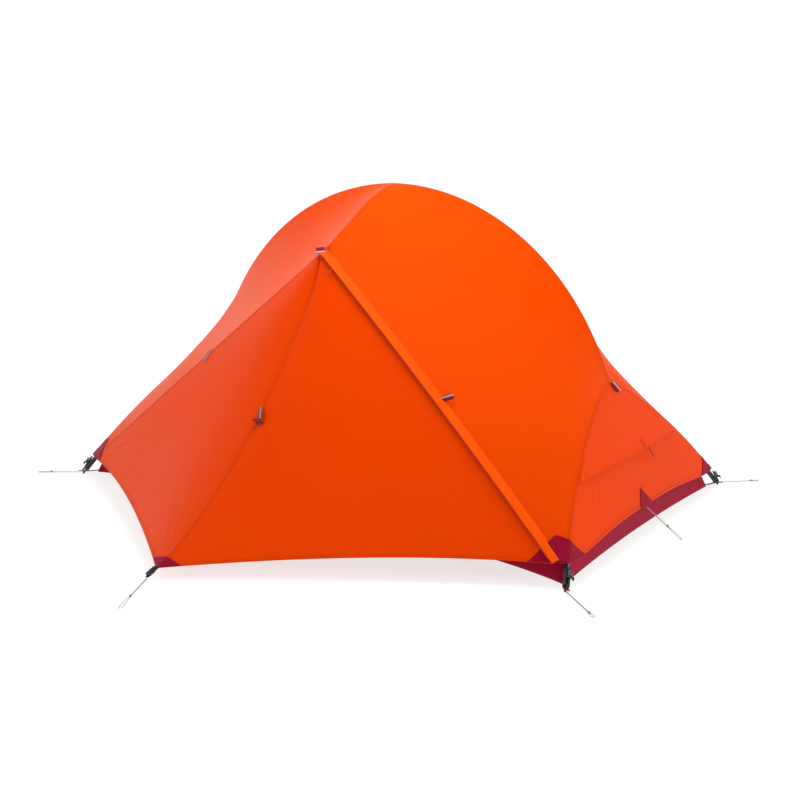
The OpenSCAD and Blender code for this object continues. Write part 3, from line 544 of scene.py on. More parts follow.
def shell(name, grid, material, thickness, uv=None, seam=None, normals=None):
    """A thin closed shell on a grid of points, turned to face out of the tent."""
    return build(
        name,
        grid.reshape(-1, 3),
        grid_faces(*grid.shape[:2]),
        material,
        uv=surface_uv(grid).reshape(-1, 2) if uv is None else uv,
        seam=None if seam is None else seam.ravel(),
        normals=normals,
        thickness=thickness,
        away=INSIDE,
    )


def sewn_cloth(name, grid, material, thickness):
    """A shell of cloth that puckers a little near all its edges, where painted shade darkens it."""
    return shell(name, grid, material, thickness, seam=edge_distance(grid))


def spline(points, count):
    """Evenly many points on a smooth curve through the given ones."""
    p = np.asarray(points, float)
    p = np.concatenate([[2 * p[0] - p[1]], p, [2 * p[-1] - p[-2]]])
    spans = len(p) - 3
    out = []
    for x in np.linspace(0, spans, count):
        k = min(int(x), spans - 1)
        t = x - k
        a, b, c, d = p[k : k + 4]
        square = 2 * a - 5 * b + 4 * c - d
        cube = 3 * b - a - 3 * c + d
        out.append(0.5 * (2 * b + (c - a) * t + square * t**2 + cube * t**3))
    return np.array(out)


def sweep(name, path, section, facing_way, material):
    """A closed outline swept along a path. The outline's x runs across and its y along facing_way."""
    path = np.asarray(path, float)
    way = unit(np.gradient(path, axis=0))
    face = np.broadcast_to(np.asarray(facing_way, float), path.shape)
    side = unit(np.cross(way, face))
    up = np.cross(side, way)
    ring = np.asarray(section)
    grid = path[:, None] + side[:, None] * ring[None, :, :1] + up[:, None] * ring[None, :, 1:]
    rows, columns = grid.shape[:2]
    last = (rows - 1) * columns
    caps = [list(range(columns)), list(range(last, last + columns))[::-1]]
    mesh = bpy.data.meshes.new(name)
    mesh.from_pydata(grid.reshape(-1, 3).tolist(), [], tube_faces(rows, columns).tolist() + caps)
    mesh.shade_smooth()
    lay_uv(mesh, pair_up(run_length(path)[:, None], run_length(ring)[None]))
    mesh.validate()
    obj = link(name, mesh)
    obj.data.materials.append(material)
    return obj


def fix(obj, body="root", replaces=None):
    """Fixes a piece to a body and hides the CAD part that it stands in for."""
    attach(obj, body)
    if replaces:
        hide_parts(replaces)
    return obj


def strap_section(width, thickness):
    """A flat outline with round edges."""
    r = thickness / 2
    half = width / 2 - r
    angles = np.radians(np.linspace(-90, 90, 5))
    right = np.stack([half + r * np.cos(angles), r * np.sin(angles)], -1)
    return np.concatenate([right, -right])


def circle_section(radius, sides=12):
    angles = np.linspace(0, 2 * np.pi, sides, endpoint=False)
    return np.stack([np.cos(angles), np.sin(angles)], -1) * radius


STRAP_STEPS = 24


def strap(name, points, width, facing_way, material, thickness=0.0015):
    return sweep(name, spline(points, STRAP_STEPS), strap_section(width, thickness), facing_way, material)


# ---- the frame's curves -------------------------------------------------------------------------

RIDGE_H, RIDGE_R, HUB_ANGLE = 1.168, 0.950, 72.5
FEET_L, FEET_W, LEG_BOW, TIP_R = 2.200, 1.340, 0.052, 0.004
BROW_R, BROW_BEND, BROW_REACH, BROW_DROP = 0.360, math.radians(31), 0.455, 0.014
FLY_OFF = 0.0125
VESTIBULE_Y, VESTIBULE_Z, ZIP_BOW, ZIP_FOOT_IN = 1.304, 0.036, 0.011, 0.041
FLY_CORNER_T = 0.905
INNER_DROP = 0.034


def ridge_point(angle, off=0.0):
    a = np.radians(angle)
    r = RIDGE_R + off
    return np.stack([r * np.sin(a), 0 * a, RIDGE_H - RIDGE_R + r * np.cos(a)], -1)


HUB = ridge_point(np.array(HUB_ANGLE))
LEG_RUN = np.array([FEET_L / 2 - HUB[0], HUB[2] - TIP_R])
LEG_SLOPE = float(np.linalg.norm(LEG_RUN))
LEAN_SIN, LEAN_COS = LEG_RUN / LEG_SLOPE


def on_end(y, s, out=0.0):
    """A point in the right-hand legs' plane: y across the tent, s up the slope, out of the tent."""
    y, s, out = np.broadcast_arrays(y, s, out)
    x = FEET_L / 2 - s * LEAN_SIN + out * LEAN_COS
    return np.stack([x, y, TIP_R + s * LEAN_COS + out * LEAN_SIN], -1)


END_OUT = np.array([LEAN_COS, 0, LEAN_SIN])
LEG_CHORD = math.hypot(FEET_W / 2, LEG_SLOPE)
LEG_R = (LEG_CHORD**2 / 4 + LEG_BOW**2) / (2 * LEG_BOW)
LEG_HALF = math.asin(LEG_CHORD / 2 / LEG_R)
LEG_DIR = math.atan2(FEET_W / 2, LEG_SLOPE)
LEG_CENTRE = np.array([FEET_W / 4, LEG_SLOPE / 2]) - (LEG_R - LEG_BOW) * np.array(
    [math.cos(LEG_DIR), math.sin(LEG_DIR)]
)


def leg_2d(t, off=0.0):
    a = LEG_DIR + LEG_HALF * (1 - 2 * np.asarray(t, float))
    return LEG_CENTRE[0] + (LEG_R + off) * np.cos(a), LEG_CENTRE[1] + (LEG_R + off) * np.sin(a)


def leg_point(t, off=0.0, out=0.0):
    """A point beside the front right leg: off away from the leg's mate, out of the tent."""
    y, s = leg_2d(t, off)
    return on_end(-y, s, out)


def slope_at(z):
    return (z - TIP_R) / LEAN_COS


BROW_CZ = RIDGE_H - BROW_DROP - BROW_R
KNEE_Y, KNEE_Z = BROW_R * math.sin(BROW_BEND), BROW_CZ + BROW_R * math.cos(BROW_BEND)


def brow_z(y):
    bent = BROW_CZ + np.sqrt(np.maximum(BROW_R**2 - y * y, 1e-6))
    return np.where(y < KNEE_Y, bent, KNEE_Z - (y - KNEE_Y) * math.tan(BROW_BEND))


LIFT_REACH, BROW_EASE = 0.120, 0.004


def fly_brow(t):
    t = np.asarray(t, float)
    y = BROW_REACH * t
    lift = np.maximum(0, 1 - y / LIFT_REACH) * (BROW_DROP - FLY_OFF * (1 / math.cos(BROW_BEND) - 1))
    z = brow_z(y) + FLY_OFF / math.cos(BROW_BEND) - BROW_EASE * t + lift
    return np.stack([0 * t, -y, z], -1)


BROW_END = fly_brow(1.0)
VESTIBULE_CORNER = np.array([0, -VESTIBULE_Y, VESTIBULE_Z])
FLY_CORNER = leg_point(FLY_CORNER_T, FLY_OFF, FLY_OFF)
ZIP_FOOT = FLY_CORNER + unit(VESTIBULE_CORNER - FLY_CORNER) * ZIP_FOOT_IN
ZIP_CHORD = float(np.linalg.norm(ZIP_FOOT - BROW_END))
ZIP_C = unit(ZIP_FOOT - BROW_END)
ZIP_LEAD = np.array([0.469, -0.51, 0.721])
ZIP_N = unit(ZIP_LEAD - ZIP_C * (ZIP_LEAD @ ZIP_C))
ZIP_W = np.cross(ZIP_N, ZIP_C)
ZIP_R = (ZIP_CHORD**2 / 4 + ZIP_BOW**2) / (2 * ZIP_BOW)
ZIP_HALF = math.asin(ZIP_CHORD / 2 / ZIP_R)
ZIP_CENTRE = (BROW_END + ZIP_FOOT) / 2 - (ZIP_R - ZIP_BOW) * ZIP_W


def zip_at(t, off=0.0, up=0.0):
    """A point beside the zip line: off towards the roof, up out of the cloth."""
    t, off, up = np.broadcast_arrays(np.asarray(t, float), off, up)
    a = ZIP_HALF * (2 * t - 1)
    radial = ZIP_W * np.cos(a)[..., None] + ZIP_C * np.sin(a)[..., None]
    return ZIP_CENTRE + radial * (ZIP_R + off)[..., None] + ZIP_N * up[..., None]


def bezier(a, b, c, t):
    return mix(mix(a, b, t), mix(b, c, t), t)


ZIP_SHARE = 93 / 96


def roof_foot(s):
    """The roof's lower edge: the zip line, then the short hem from the zip to the fly's corner."""
    s = np.asarray(s, float)
    past = np.clip((s - ZIP_SHARE) / (1 - ZIP_SHARE), 0, 1)
    short_hem = mix(ZIP_FOOT, FLY_CORNER, past)
    return np.where((s <= ZIP_SHARE)[..., None], zip_at(np.minimum(1, s / ZIP_SHARE)), short_hem)


SEAM_KNEES = np.array([[0, -0.460, 0.830], [0, -0.955, 0.165]])


def seam_line(t):
    upper = bezier(BROW_END, SEAM_KNEES[0], SEAM_KNEES[1], t)
    return mix(upper, bezier(SEAM_KNEES[0], SEAM_KNEES[1], VESTIBULE_CORNER, t), t)


HEM_PULL = np.array([0.020, 0.045, 0.018])


def hem_line(s):
    s = np.asarray(s, float)
    return mix(VESTIBULE_CORNER, ZIP_FOOT, s) + HEM_PULL * (4 * s * (1 - s))[..., None]


def fly_ridge(s):
    return ridge_point(HUB_ANGLE * np.asarray(s, float), FLY_OFF)


def fly_leg(t):
    t = np.asarray(t, float)
    return mix(fly_ridge(1.0), leg_point(FLY_CORNER_T * t, FLY_OFF, FLY_OFF), np.minimum(1, 8 * t))


# ---- stretched cloth ----------------------------------------------------------------------------

CELLS = 96
COARSE = 12
ROUNDS = 260


def coons(edges, n):
    top, bottom, left, right = [edge(np.linspace(0, 1, n + 1)) for edge in edges]
    s, t = np.linspace(0, 1, n + 1)[:, None, None], np.linspace(0, 1, n + 1)[None, :, None]
    grid = (1 - t) * top[:, None] + t * bottom[:, None] + (1 - s) * left[None] + s * right[None]
    grid -= (1 - s) * ((1 - t) * top[0] + t * bottom[0]) + s * ((1 - t) * top[-1] + t * bottom[-1])
    return pin_edges(grid, edges)


def pin_edges(grid, edges):
    n = len(grid) - 1
    top, bottom, left, right = [edge(np.linspace(0, 1, n + 1)) for edge in edges]
    grid[0], grid[-1], grid[:, 0], grid[:, -1] = left, right, top, bottom
    return grid


def finer(grid):
    n = len(grid) - 1
    out = np.zeros((2 * n + 1, 2 * n + 1, 3))
    out[::2, ::2] = grid
    out[1::2, ::2] = (grid[1:] + grid[:-1]) / 2
    out[:, 1::2] = (out[:, :-1:2] + out[:, 2::2]) / 2
    return out


def stretch(top, bottom, left, right, cells=CELLS):
    """Form-finds cloth stretched between four edge curves: each point settles among its neighbours."""
    edges = (top, bottom, left, right)
    grid = coons(edges, COARSE)
    while True:
        for _ in range(ROUNDS):
            around = grid[2:, 1:-1] + grid[:-2, 1:-1] + grid[1:-1, 2:] + grid[1:-1, :-2]
            grid[1:-1, 1:-1] = around / 4
        if len(grid) > cells:
            return grid
        grid = pin_edges(finer(grid), edges)


def fan(grid, corner, folds, reach, depth, phase=0.0):
    """Tension folds that spread from a corner of a panel and fade out."""
    flipped = grid[:: -1 if corner[0] else 1, :: -1 if corner[1] else 1]
    away = flipped - flipped[0, 0]
    r = np.linalg.norm(away, axis=-1)
    u, v = grid_lengths(flipped)
    angle = np.arctan2(v, np.maximum(u, 1e-9)) / (np.pi / 2)
    wave = np.sin(2 * np.pi * folds * angle + phase)
    wave += 0.45 * np.sin(2 * np.pi * folds * 1.7 * angle + 1.3 + phase)
    height = depth * wave * np.sin(np.pi * angle) * (r / reach) * np.exp(1 - r / reach)
    return height[:: -1 if corner[0] else 1, :: -1 if corner[1] else 1]


def puckers(grid, side, pitch, reach, depth, phase=0.0):
    """Small folds that run in from a sewn edge. side is top, bottom, left or right."""
    u, v = grid_lengths(grid)
    along, into = {
        "top": (u, v),
        "bottom": (u, v[:, -1:] - v),
        "left": (v, u),
        "right": (v, u[-1:] - u),
    }[side]
    wave = np.sin(2 * np.pi * along / pitch + phase)
    wave += 0.6 * np.sin(2 * np.pi * along / (pitch * 0.63) + 2 * phase)
    swell = 0.5 + 0.5 * np.sin(2 * np.pi * along / (pitch * 7.3) + phase)
    return depth * wave * swell * (into / reach) * np.exp(1 - into / reach)


TURN = np.diag([-1.0, -1.0, 1.0])
FLIP_X = np.diag([-1.0, 1.0, 1.0])
FLIP_Y = np.diag([1.0, -1.0, 1.0])
SAME = np.eye(3)
UP = np.array([0, 0, 1.0])
SIDES = {"front": SAME, "back": TURN}
ENDS = {"right": SAME, "left": TURN}


def at_brow_end(s):
    return np.broadcast_to(BROW_END, (len(np.atleast_1d(s)), 3)).copy()


ROOF = stretch(fly_ridge, roof_foot, fly_brow, fly_leg)
DOOR = stretch(at_brow_end, hem_line, seam_line, zip_at)

FOLD_S, VISOR_S, VENT_S = slope_at(0.335), slope_at(0.262), slope_at(0.292)
HEM_ARCH, HEM_DIP, HEM_REACH = 0.0225, 0.076, 0.14
# How far the cloth stands out between the legs, how much more at the visor's fold, and over what height.
END_CROWN, HOOD_CROWN, HOOD_REACH = 0.002, 0.006, 0.11


def end_sheet():
    """The cloth between a pair of legs, from the hub down to the hem: rows run across it."""
    t = np.linspace(0, 1, CELLS + 1)
    edge = fly_leg(t)
    across = np.linspace(-1, 1, CELLS + 1)[:, None]
    half = -edge[None, :, 1]
    centre = edge * np.array([1, 0, 1])
    grid = np.broadcast_to(centre[None], (CELLS + 1, CELLS + 1, 3)).copy()
    grid[..., 1] = across * half
    slope = slope_at(edge[:, 2])
    low = smoothstep(1 - (slope - slope[-1]) / HEM_REACH)[None]
    up_slope = np.array([-LEAN_SIN, 0, LEAN_COS])
    rise = (HEM_ARCH - HEM_DIP * across**4) * (1 - across**2)
    grid += up_slope * (rise * low)[..., None]
    flat = (1 - across**2) * np.minimum(1, half / 0.1)
    hood = np.exp(-(((slope[None] - FOLD_S) / HOOD_REACH) ** 2))
    grid += END_OUT * (flat * (END_CROWN + HOOD_CROWN * hood))[..., None]
    return grid, slope


END, END_SLOPE = end_sheet()
FOLD_ROW = int(np.argmin(np.abs(END_SLOPE - FOLD_S)))

# Each panel is a grid in place, at rest.
PANELS = {
    "fly_roof_front_right": ROOF,
    "fly_roof_front_left": ROOF @ FLIP_X,
    "fly_roof_back_left": ROOF @ TURN,
    "fly_roof_back_right": ROOF @ FLIP_Y,
    "door_front": DOOR,
    "door_back": DOOR @ TURN,
    "vestibule_panel_front": DOOR @ FLIP_X,
    "vestibule_panel_back": DOOR @ FLIP_Y,
    "fly_end_right": END,
    "fly_end_left": END @ TURN,
}


def weld(panels):
    """One list of points for all panels, with each panel's own indices into it."""
    names = list(panels)
    stacked = np.concatenate([panels[n].reshape(-1, 3) for n in names])
    key = np.floor(stacked / 2e-5 + 0.37).astype(np.int64)
    _, first, index = np.unique(key, axis=0, return_index=True, return_inverse=True)
    index = index.ravel()
    ids, start = {}, 0
    for n in names:
        size = panels[n].shape[0] * panels[n].shape[1]
        ids[n] = index[start : start + size].reshape(panels[n].shape[:2])
        start += size
    return stacked[first], ids


FLY_POINTS, FLY_IDS = weld(PANELS)


FLY_FACES = {n: facing(FLY_POINTS, quads(ids), INSIDE) for n, ids in FLY_IDS.items()}


# How strongly the rows of points at a crease are smoothed, from the crease itself outwards.
CREASE_RINGS = ((0, 0.6), (1, 0.3), (2, 0.12))


def soften_creases(points):
    """Rounds the cloth where it bends over a pole, as it does round a tube."""
    faces = np.concatenate(list(FLY_FACES.values()))
    pairs = np.concatenate([faces[:, [k, (k + 1) % 4]] for k in range(4)])
    pairs = np.unique(np.sort(pairs, 1), axis=0)
    pairs = pairs[pairs[:, 0] != pairs[:, 1]]
    weight = np.zeros(len(points))
    for name, ids in FLY_IDS.items():
        if name.startswith("fly_roof"):
            for ring, share in CREASE_RINGS:
                for line in (ids[:-4, ring], ids[ring, :-4], ids[-1 - ring, 4:-4]):
                    weight[line] = np.maximum(weight[line], share)
        if name.startswith("fly_end"):
            for ring, share in CREASE_RINGS[1:]:
                for line in (ids[ring, 6:-4], ids[-1 - ring, 6:-4]):
                    weight[line] = np.maximum(weight[line], share)
    out = points.copy()
    for _ in range(3):
        total, count = np.zeros_like(out), np.zeros(len(out))
        for a, b in (pairs.T, pairs[:, ::-1].T):
            np.add.at(total, a, out[b])
            np.add.at(count, a, 1)
        out += (total / np.maximum(count, 1)[:, None] - out) * weight[:, None] * 0.6
    return out


FOLD_SHARE = 0.4
# Fans are corner, folds, reach and depth. Puckers are edge, pitch, reach and depth.
ROOF_FANS = (((1, 1), 4, 0.10, 0.0022), ((0, 1), 3, 0.12, 0.0016), ((1, 0), 3, 0.12, 0.0014))
ROOF_PUCKERS = (
    ("bottom", 0.055, 0.020, 0.0005),
    ("left", 0.045, 0.018, 0.0003),
    ("right", 0.060, 0.025, 0.0006),
)
SIDE_FANS = (((0, 1), 4, 0.12, 0.0022), ((1, 1), 4, 0.12, 0.0022))
SIDE_PUCKERS = (
    ("left", 0.060, 0.022, 0.0005),
    ("right", 0.055, 0.020, 0.0005),
    ("bottom", 0.190, 0.060, 0.0012),
)


def folds(grid, fans, edges, phase):
    height = sum(fan(grid, *entry, phase) for entry in fans)
    return height + sum(puckers(grid, *entry, phase) for entry in edges)


def fly_wrinkles(points):
    """Moves the cloth along its normals by the small folds that pull from corners and seams."""
    faces = np.concatenate(list(FLY_FACES.values()))
    normals = vertex_normals(points, faces)
    out = points.copy()
    for order, (name, ids) in enumerate(FLY_IDS.items()):
        grid = points[ids]
        start = order * 1.9
        if name.startswith("fly_roof"):
            height = folds(grid, ROOF_FANS, ROOF_PUCKERS, start)
        elif name.startswith("fly_end"):
            height = puckers(grid, "left", 0.050, 0.020, 0.0006, start)
            height += puckers(grid, "right", 0.050, 0.020, 0.0006, start + 1)
            height += hub_folds(grid)
        else:
            height = folds(grid, SIDE_FANS, SIDE_PUCKERS, start)
        out[ids] += normals[ids] * (FOLD_SHARE * height)[..., None]
    return out


def hub_folds(grid):
    """Folds that fan down the end sheet from the hub, and gathers under the vent."""
    n = len(grid) - 1
    across = np.linspace(-1, 1, n + 1)[:, None]
    down = np.linspace(0, 1, n + 1)[None]
    far = down / 0.10
    fans = 0.0036 * np.sin(13 * across + 0.8) * far * np.exp(1 - far) * (1 - across**2)
    below = np.clip((VISOR_S + 0.012 - END_SLOPE[None]) / 0.05, 0, None)
    pleats = np.sin(across * 88) + 0.5 * np.sin(across * 53 + 1)
    near_a = smoothstep((across + 0.86) / 0.08) * smoothstep((-0.5 - across) / 0.12)
    near_b = smoothstep((across - 0.5) / 0.12) * smoothstep((0.9 - across) / 0.08)
    gathers = 0.0030 * pleats * (near_a + near_b) * below * np.exp(1 - below * 1.4)
    return fans + gathers


FLY_POINTS = fly_wrinkles(soften_creases(FLY_POINTS))
FLY_NORMALS = vertex_normals(FLY_POINTS, np.concatenate(list(FLY_FACES.values())))

# ---- pieces of the fly --------------------------------------------------------------------------

CLOTH = 0.0006
# A distance from any seam at which cloth no longer puckers and takes no painted seam shade.
PLAIN_SEAM = 0.05
SEAM_W, HEM_W = 0.008, 0.009


def panel_grid(name):
    return FLY_POINTS[FLY_IDS[name]]


def panel_normals(name):
    return FLY_NORMALS[FLY_IDS[name]]


def cloth_piece(name, grid, normals, material, rows=slice(None)):
    """A panel of cloth from a grid of points, as a thin closed shell."""
    seam = edge_distance(grid)[:, rows]
    normals = normals[:, rows].reshape(-1, 3)
    return shell(name, grid[:, rows], material, CLOTH, seam=seam, normals=normals)


def flat_size(grid):
    """The cut that a panel is made from: its longest line each way, and its area."""
    along = np.linalg.norm(np.diff(grid, axis=0), axis=-1).sum(0).max()
    down = np.linalg.norm(np.diff(grid, axis=1), axis=-1).sum(1).max()
    faces = grid_faces(*grid.shape[:2])
    area = np.linalg.norm(face_normals(grid.reshape(-1, 3), faces), axis=1).sum() / 2
    return (float(along), float(down)), float(min(area, along * down))


# The share of the product of its two sides below which a cut's second side is shortened, a little above 0.3.
# A declared area must be at least 0.3 of the product of the two sides. This keeps a little above it.
MIN_SHEET_SHARE = 0.31


def declare_sheet(grid):
    """Works out a piece's flat cut, which is not kept or passed on.

    A tapering or arched piece can fill less of its two sides' product than a declaration allows. Its
    second side is then shortened to fit, and is not a real size. The area stays as measured.
    """
    flat, area = flat_size(grid)
    share = area / (flat[0] * flat[1])
    if share < MIN_SHEET_SHARE:
        flat = (flat[0], flat[1] * share / MIN_SHEET_SHARE)


SYMMETRY = {"front_right": SAME, "front_left": FLIP_X, "back_left": TURN, "back_right": FLIP_Y}


def make_fly_roofs():
    for corner in SYMMETRY:
        name = "fly_roof_" + corner
        grid = panel_grid(name)
        obj = cloth_piece("roof_" + corner, grid, panel_normals(name), ROOF_LIT_ORANGE)
        fix(obj, replaces=name)
        declare_sheet(grid)


def blend_door(obj):
    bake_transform(obj)


def make_vestibules():
    for side in SIDES:
        name = "vestibule_panel_" + side
        grid = panel_grid(name)
        obj = cloth_piece("vestibule_" + side, grid, panel_normals(name), FLY_ORANGE)
        fix(obj, replaces=name)
        declare_sheet(grid)
        name = "door_" + side
        grid = panel_grid(name)
        door = cloth_piece("door_cloth_" + side, grid, panel_normals(name), FLY_ORANGE)
        blend_door(door)
        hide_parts(name)
        declare_sheet(grid)


VISOR_ROWS, VISOR_COLUMNS, VISOR_T = 81, 17, 0.0007
# The hood stops short of the seams beside it by the margin, a share of the width. It clears the cloth by
# the gap, and at the middle of its free edge by the bulge as well.
VISOR_MARGIN, VISOR_GAP, VISOR_BULGE = 0.012, 0.0012, 0.013


def visor_grid():
    """The hood over a vent: it follows the end sheet from the fold down and stands off it below."""
    panel, normals = panel_grid("fly_end_right"), panel_normals("fly_end_right")
    a = np.linspace(VISOR_MARGIN, 1 - VISOR_MARGIN, VISOR_ROWS)[:, None]
    slopes = np.linspace(FOLD_S + 0.004, VISOR_S, VISOR_COLUMNS)
    rows = np.interp(slopes, END_SLOPE[::-1], np.arange(CELLS + 1)[::-1])
    down = np.linspace(0, 1, VISOR_COLUMNS)[None]
    a, b = np.broadcast_arrays(a, rows[None] / CELLS)
    across = 2 * a - 1
    crown = np.clip(1 - across**2, 0, 1) ** 0.8
    lift = VISOR_GAP * np.minimum(1, 12 * down) - VISOR_T + VISOR_BULGE * crown * down**1.5
    return sample(panel, normals, a, b, lift)


def make_fly_ends():
    for side, turn in ENDS.items():
        name = "fly_end_" + side
        grid, normals = panel_grid(name), panel_normals(name)
        above, below = slice(0, FOLD_ROW + 1), slice(FOLD_ROW, None)
        upper = cloth_piece(name + "_hood", grid, normals, FLY_ORANGE, rows=above)
        lower = cloth_piece(name + "_lower", grid, normals, FLY_ORANGE, rows=below)
        lower.data.materials.append(VENT_NET)
        mark_vent(lower, turn)
        for obj, rows in ((upper, above), (lower, below)):
            fix(obj)
            declare_sheet(grid[:, rows])
        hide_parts(name)
        hood = visor_grid() @ turn
        plain = np.full(hood[..., 0].size, PLAIN_SEAM)
        visor = shell("vent_visor_cloth_" + side, hood, FLY_ORANGE, VISOR_T, seam=plain)
        body = "vent_visor_" + side
        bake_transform(visor)
        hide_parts(body)
        declare_sheet(hood)
        make_visor_trim(side, turn, hood)


def mark_vent(obj, turn):
    """Gives the strip behind the visor its netting."""
    for face in obj.data.polygons:
        centre = np.array(face.center) @ turn
        slope = slope_at(centre[2])
        if VENT_S < slope < FOLD_S - 0.004 and abs(centre[1]) < 0.33:
            face.material_index = 1


def make_visor_trim(side, turn, hood):
    """The visor's hem, the pocket for its stay and the loop that pulls it out."""
    body = "vent_visor_" + side
    edge = hood[:, -1]
    way_in = unit(hood[:, -3] - edge)
    out = END_OUT @ turn
    hem = edge_band("vent_visor_hem_" + side, edge, way_in, out, 0.007)
    fix(hem, body)
    at = 50
    down = unit(hood[at, -1] - hood[at, -3])
    path = [
        hood[at, -2] + out * 0.002,
        hood[at, -1] + out * 0.003 + down * 0.004,
        hood[at, -1] + out * 0.002 + down * 0.018,
        hood[at, -1] + out * 0.001 + down * 0.034,
    ]
    pull = strap("vent_pull_" + side, path, 0.008, out, CRIMSON_WEB, 0.002)
    fix(pull, body)
    pocket = hood[48:52, 8:17] + out * 0.0012
    fix(sewn_cloth("vent_stay_pocket_" + side, pocket, FLY_ORANGE, 0.0008), body)


SEAM_T, SEAM_LIFT, HEM_FOLD = 0.0009, 0.0006, 0.0014


def edge_band(name, edge, way_in, normal, width):
    """A folded hem: a strip that wraps a free edge on both sides."""
    normal = np.broadcast_to(normal, edge.shape)
    inset = np.array([1, 0.5, 0, 0, 0, 0.5, 1]) * width
    inset[3] = -HEM_FOLD
    rise = np.array([0.9, 1.15, 1.1, 0.0, -1.3, -1.4, -1.2]) * SEAM_LIFT
    grid = np.stack([edge + way_in * i + normal * r for i, r in zip(inset, rise)], 1)
    uv = pair_up(run_length(edge)[:, None], np.array([0.62, 0.1, -0.2, -0.3, -0.2, 0.1, 0.62])[None])
    n, m = grid.shape[:2]
    index = np.arange(n * m).reshape(n, m)
    ends = np.array([index[k, corners] for corners in ([0, 1, 2, 6], [2, 3, 4, 5]) for k in (0, -1)])
    ends[1::2] = ends[1::2, ::-1]
    tail = np.array([index[k, [2, 5, 6, 6]] for k in (0, -1)])
    tail[1] = tail[1, ::-1]
    faces = np.concatenate([tube_faces(n, m), ends, tail])
    return build(name, grid.reshape(-1, 3), faces, SEAM_ORANGE, uv=uv)


def seam_strip(name, edge, into_a, into_b, normal):
    """A felled seam that covers the line where two panels meet."""
    into_a, into_b = unit(into_a), unit(into_b)
    shares = np.array([1.0, 0.8, 0.35, 0.0, -0.35, -0.8, -1.0])
    rises = (0.15, 0.9, 1.0, 1.0, 1.0, 0.9, 0.15)
    rows = []
    for share, rise in zip(shares, rises):
        way = into_a if share >= 0 else into_b
        rows.append(edge + way * abs(share) * SEAM_W / 2 + normal * SEAM_LIFT * rise)
    uv = pair_up(run_length(edge)[:, None], shares[None])
    return fix(shell(name, np.stack(rows, 1), SEAM_ORANGE, SEAM_T, uv=uv))


def resample(values, at):
    """Values along a line, read off at places that lie between its points."""
    places = np.arange(len(values))
    return np.stack([np.interp(at, places, values[:, k]) for k in range(values.shape[1])], -1)


# The roof panels over which the brow and ridge seams run: who meets them at the brow, who at the ridge.
ROOF_NEIGHBOURS = {"front_right": ("front_left", "back_right"), "back_left": ("back_right", "front_left")}
# The narrow tips of the panels are left out of their seams: so many rows of the grid.
SEAM_START = 4


def make_roof_seams():
    """Seams over the brow pole, the ridge pole and the legs, and where the vestibules join the roof."""
    for corner in SYMMETRY:
        name = "fly_roof_" + corner
        grid, normals = panel_grid(name), panel_normals(name)
        front_or_back, right_or_left = corner.split("_")
        end = panel_grid("fly_end_" + right_or_left)
        if corner in ROOF_NEIGHBOURS:
            beside, behind = ROOF_NEIGHBOURS[corner]
            other = panel_grid("fly_roof_" + beside)
            name = "brow_seam_" + front_or_back
            seam_strip(name, grid[0], grid[1] - grid[0], other[1] - other[0], normals[0])
            other = panel_grid("fly_roof_" + behind)
            name = "ridge_seam_" + right_or_left
            seam_strip(name, grid[:, 0], grid[:, 1] - grid[:, 0], other[:, 1] - other[:, 0], normals[:, 0])
            inward = end[1] - end[0]
        else:
            inward = end[-2] - end[-1]
        into = grid[-2] - grid[-1]
        seam_strip("leg_seam_" + corner, grid[-1, 3:], into[3:], inward[3:], normals[-1, 3:])
        if corner not in ROOF_NEIGHBOURS:
            panel = panel_grid("vestibule_panel_" + front_or_back)
            rows = np.arange(SEAM_START, round(ZIP_SHARE * CELLS) + 1)
            into_panel = resample(panel[-2] - panel[-1], rows / ZIP_SHARE)
            into = grid[rows, -2] - grid[rows, -1]
            seam_strip("vestibule_seam_" + front_or_back, grid[rows, -1], into, into_panel, normals[rows, -1])
    for side in SIDES:
        door = panel_grid("door_" + side)[:, SEAM_START:]
        panel = panel_grid("vestibule_panel_" + side)[:, SEAM_START:]
        normals = panel_normals("vestibule_panel_" + side)[0, SEAM_START:]
        seam_strip("door_seam_" + side, door[0], door[1] - door[0], panel[1] - panel[0], normals)


def panel_hem(name, panel):
    grid, normals = panel_grid(panel), panel_normals(panel)
    return edge_band(name, grid[:, -1], unit(grid[:, -3] - grid[:, -1]), normals[:, -1], HEM_W)


def make_hems():
    for side in SIDES:
        hem = panel_hem("door_hem_" + side, "door_" + side)
        blend_door(hem)
        fix(panel_hem("vestibule_hem_" + side, "vestibule_panel_" + side))
    for side in ENDS:
        fix(panel_hem("end_hem_" + side, "fly_end_" + side))


FLAP_OVER, FLAP_WIDTH, FLAP_RISE, FLAP_MARGIN, FLAP_SEWN = 0.012, 0.030, 0.0135, 0.008, 0.0032
# The shares of its width between which the flap rises off the seam, its thickness and its ripple.
FLAP_BEND_AT, FLAP_BEND_OVER, FLAP_T, FLAP_RIPPLE = 0.12, 0.26, 0.0014, 0.0005


ZIP_STEPS = 160


def flap_grid():
    """The storm flap: sewn down along its roof side, it stands over the zip and is free towards the door."""
    t = np.linspace(0.0, 1.0, ZIP_STEPS + 1)[:, None]
    share = np.linspace(0, 1, 17)[None]
    off = FLAP_WIDTH - FLAP_OVER + FLAP_MARGIN - (FLAP_WIDTH + FLAP_MARGIN) * share
    rise = FLAP_SEWN + (FLAP_RISE - FLAP_SEWN) * smoothstep((share - FLAP_BEND_AT) / FLAP_BEND_OVER)
    ends = np.minimum(1, t / 0.03 + 0.35)
    ripple = FLAP_RIPPLE * np.sin(t * 61 + 2 * share) * share
    return zip_at(t, off, rise * ends + ripple)


def make_flaps():
    for side, turn in SIDES.items():
        grid = flap_grid() @ turn
        flap = sewn_cloth("storm_flap_cloth_" + side, grid, FLAP_LIT_ORANGE, FLAP_T)
        fix(flap, replaces="storm_flap_" + side)
        declare_sheet(grid)


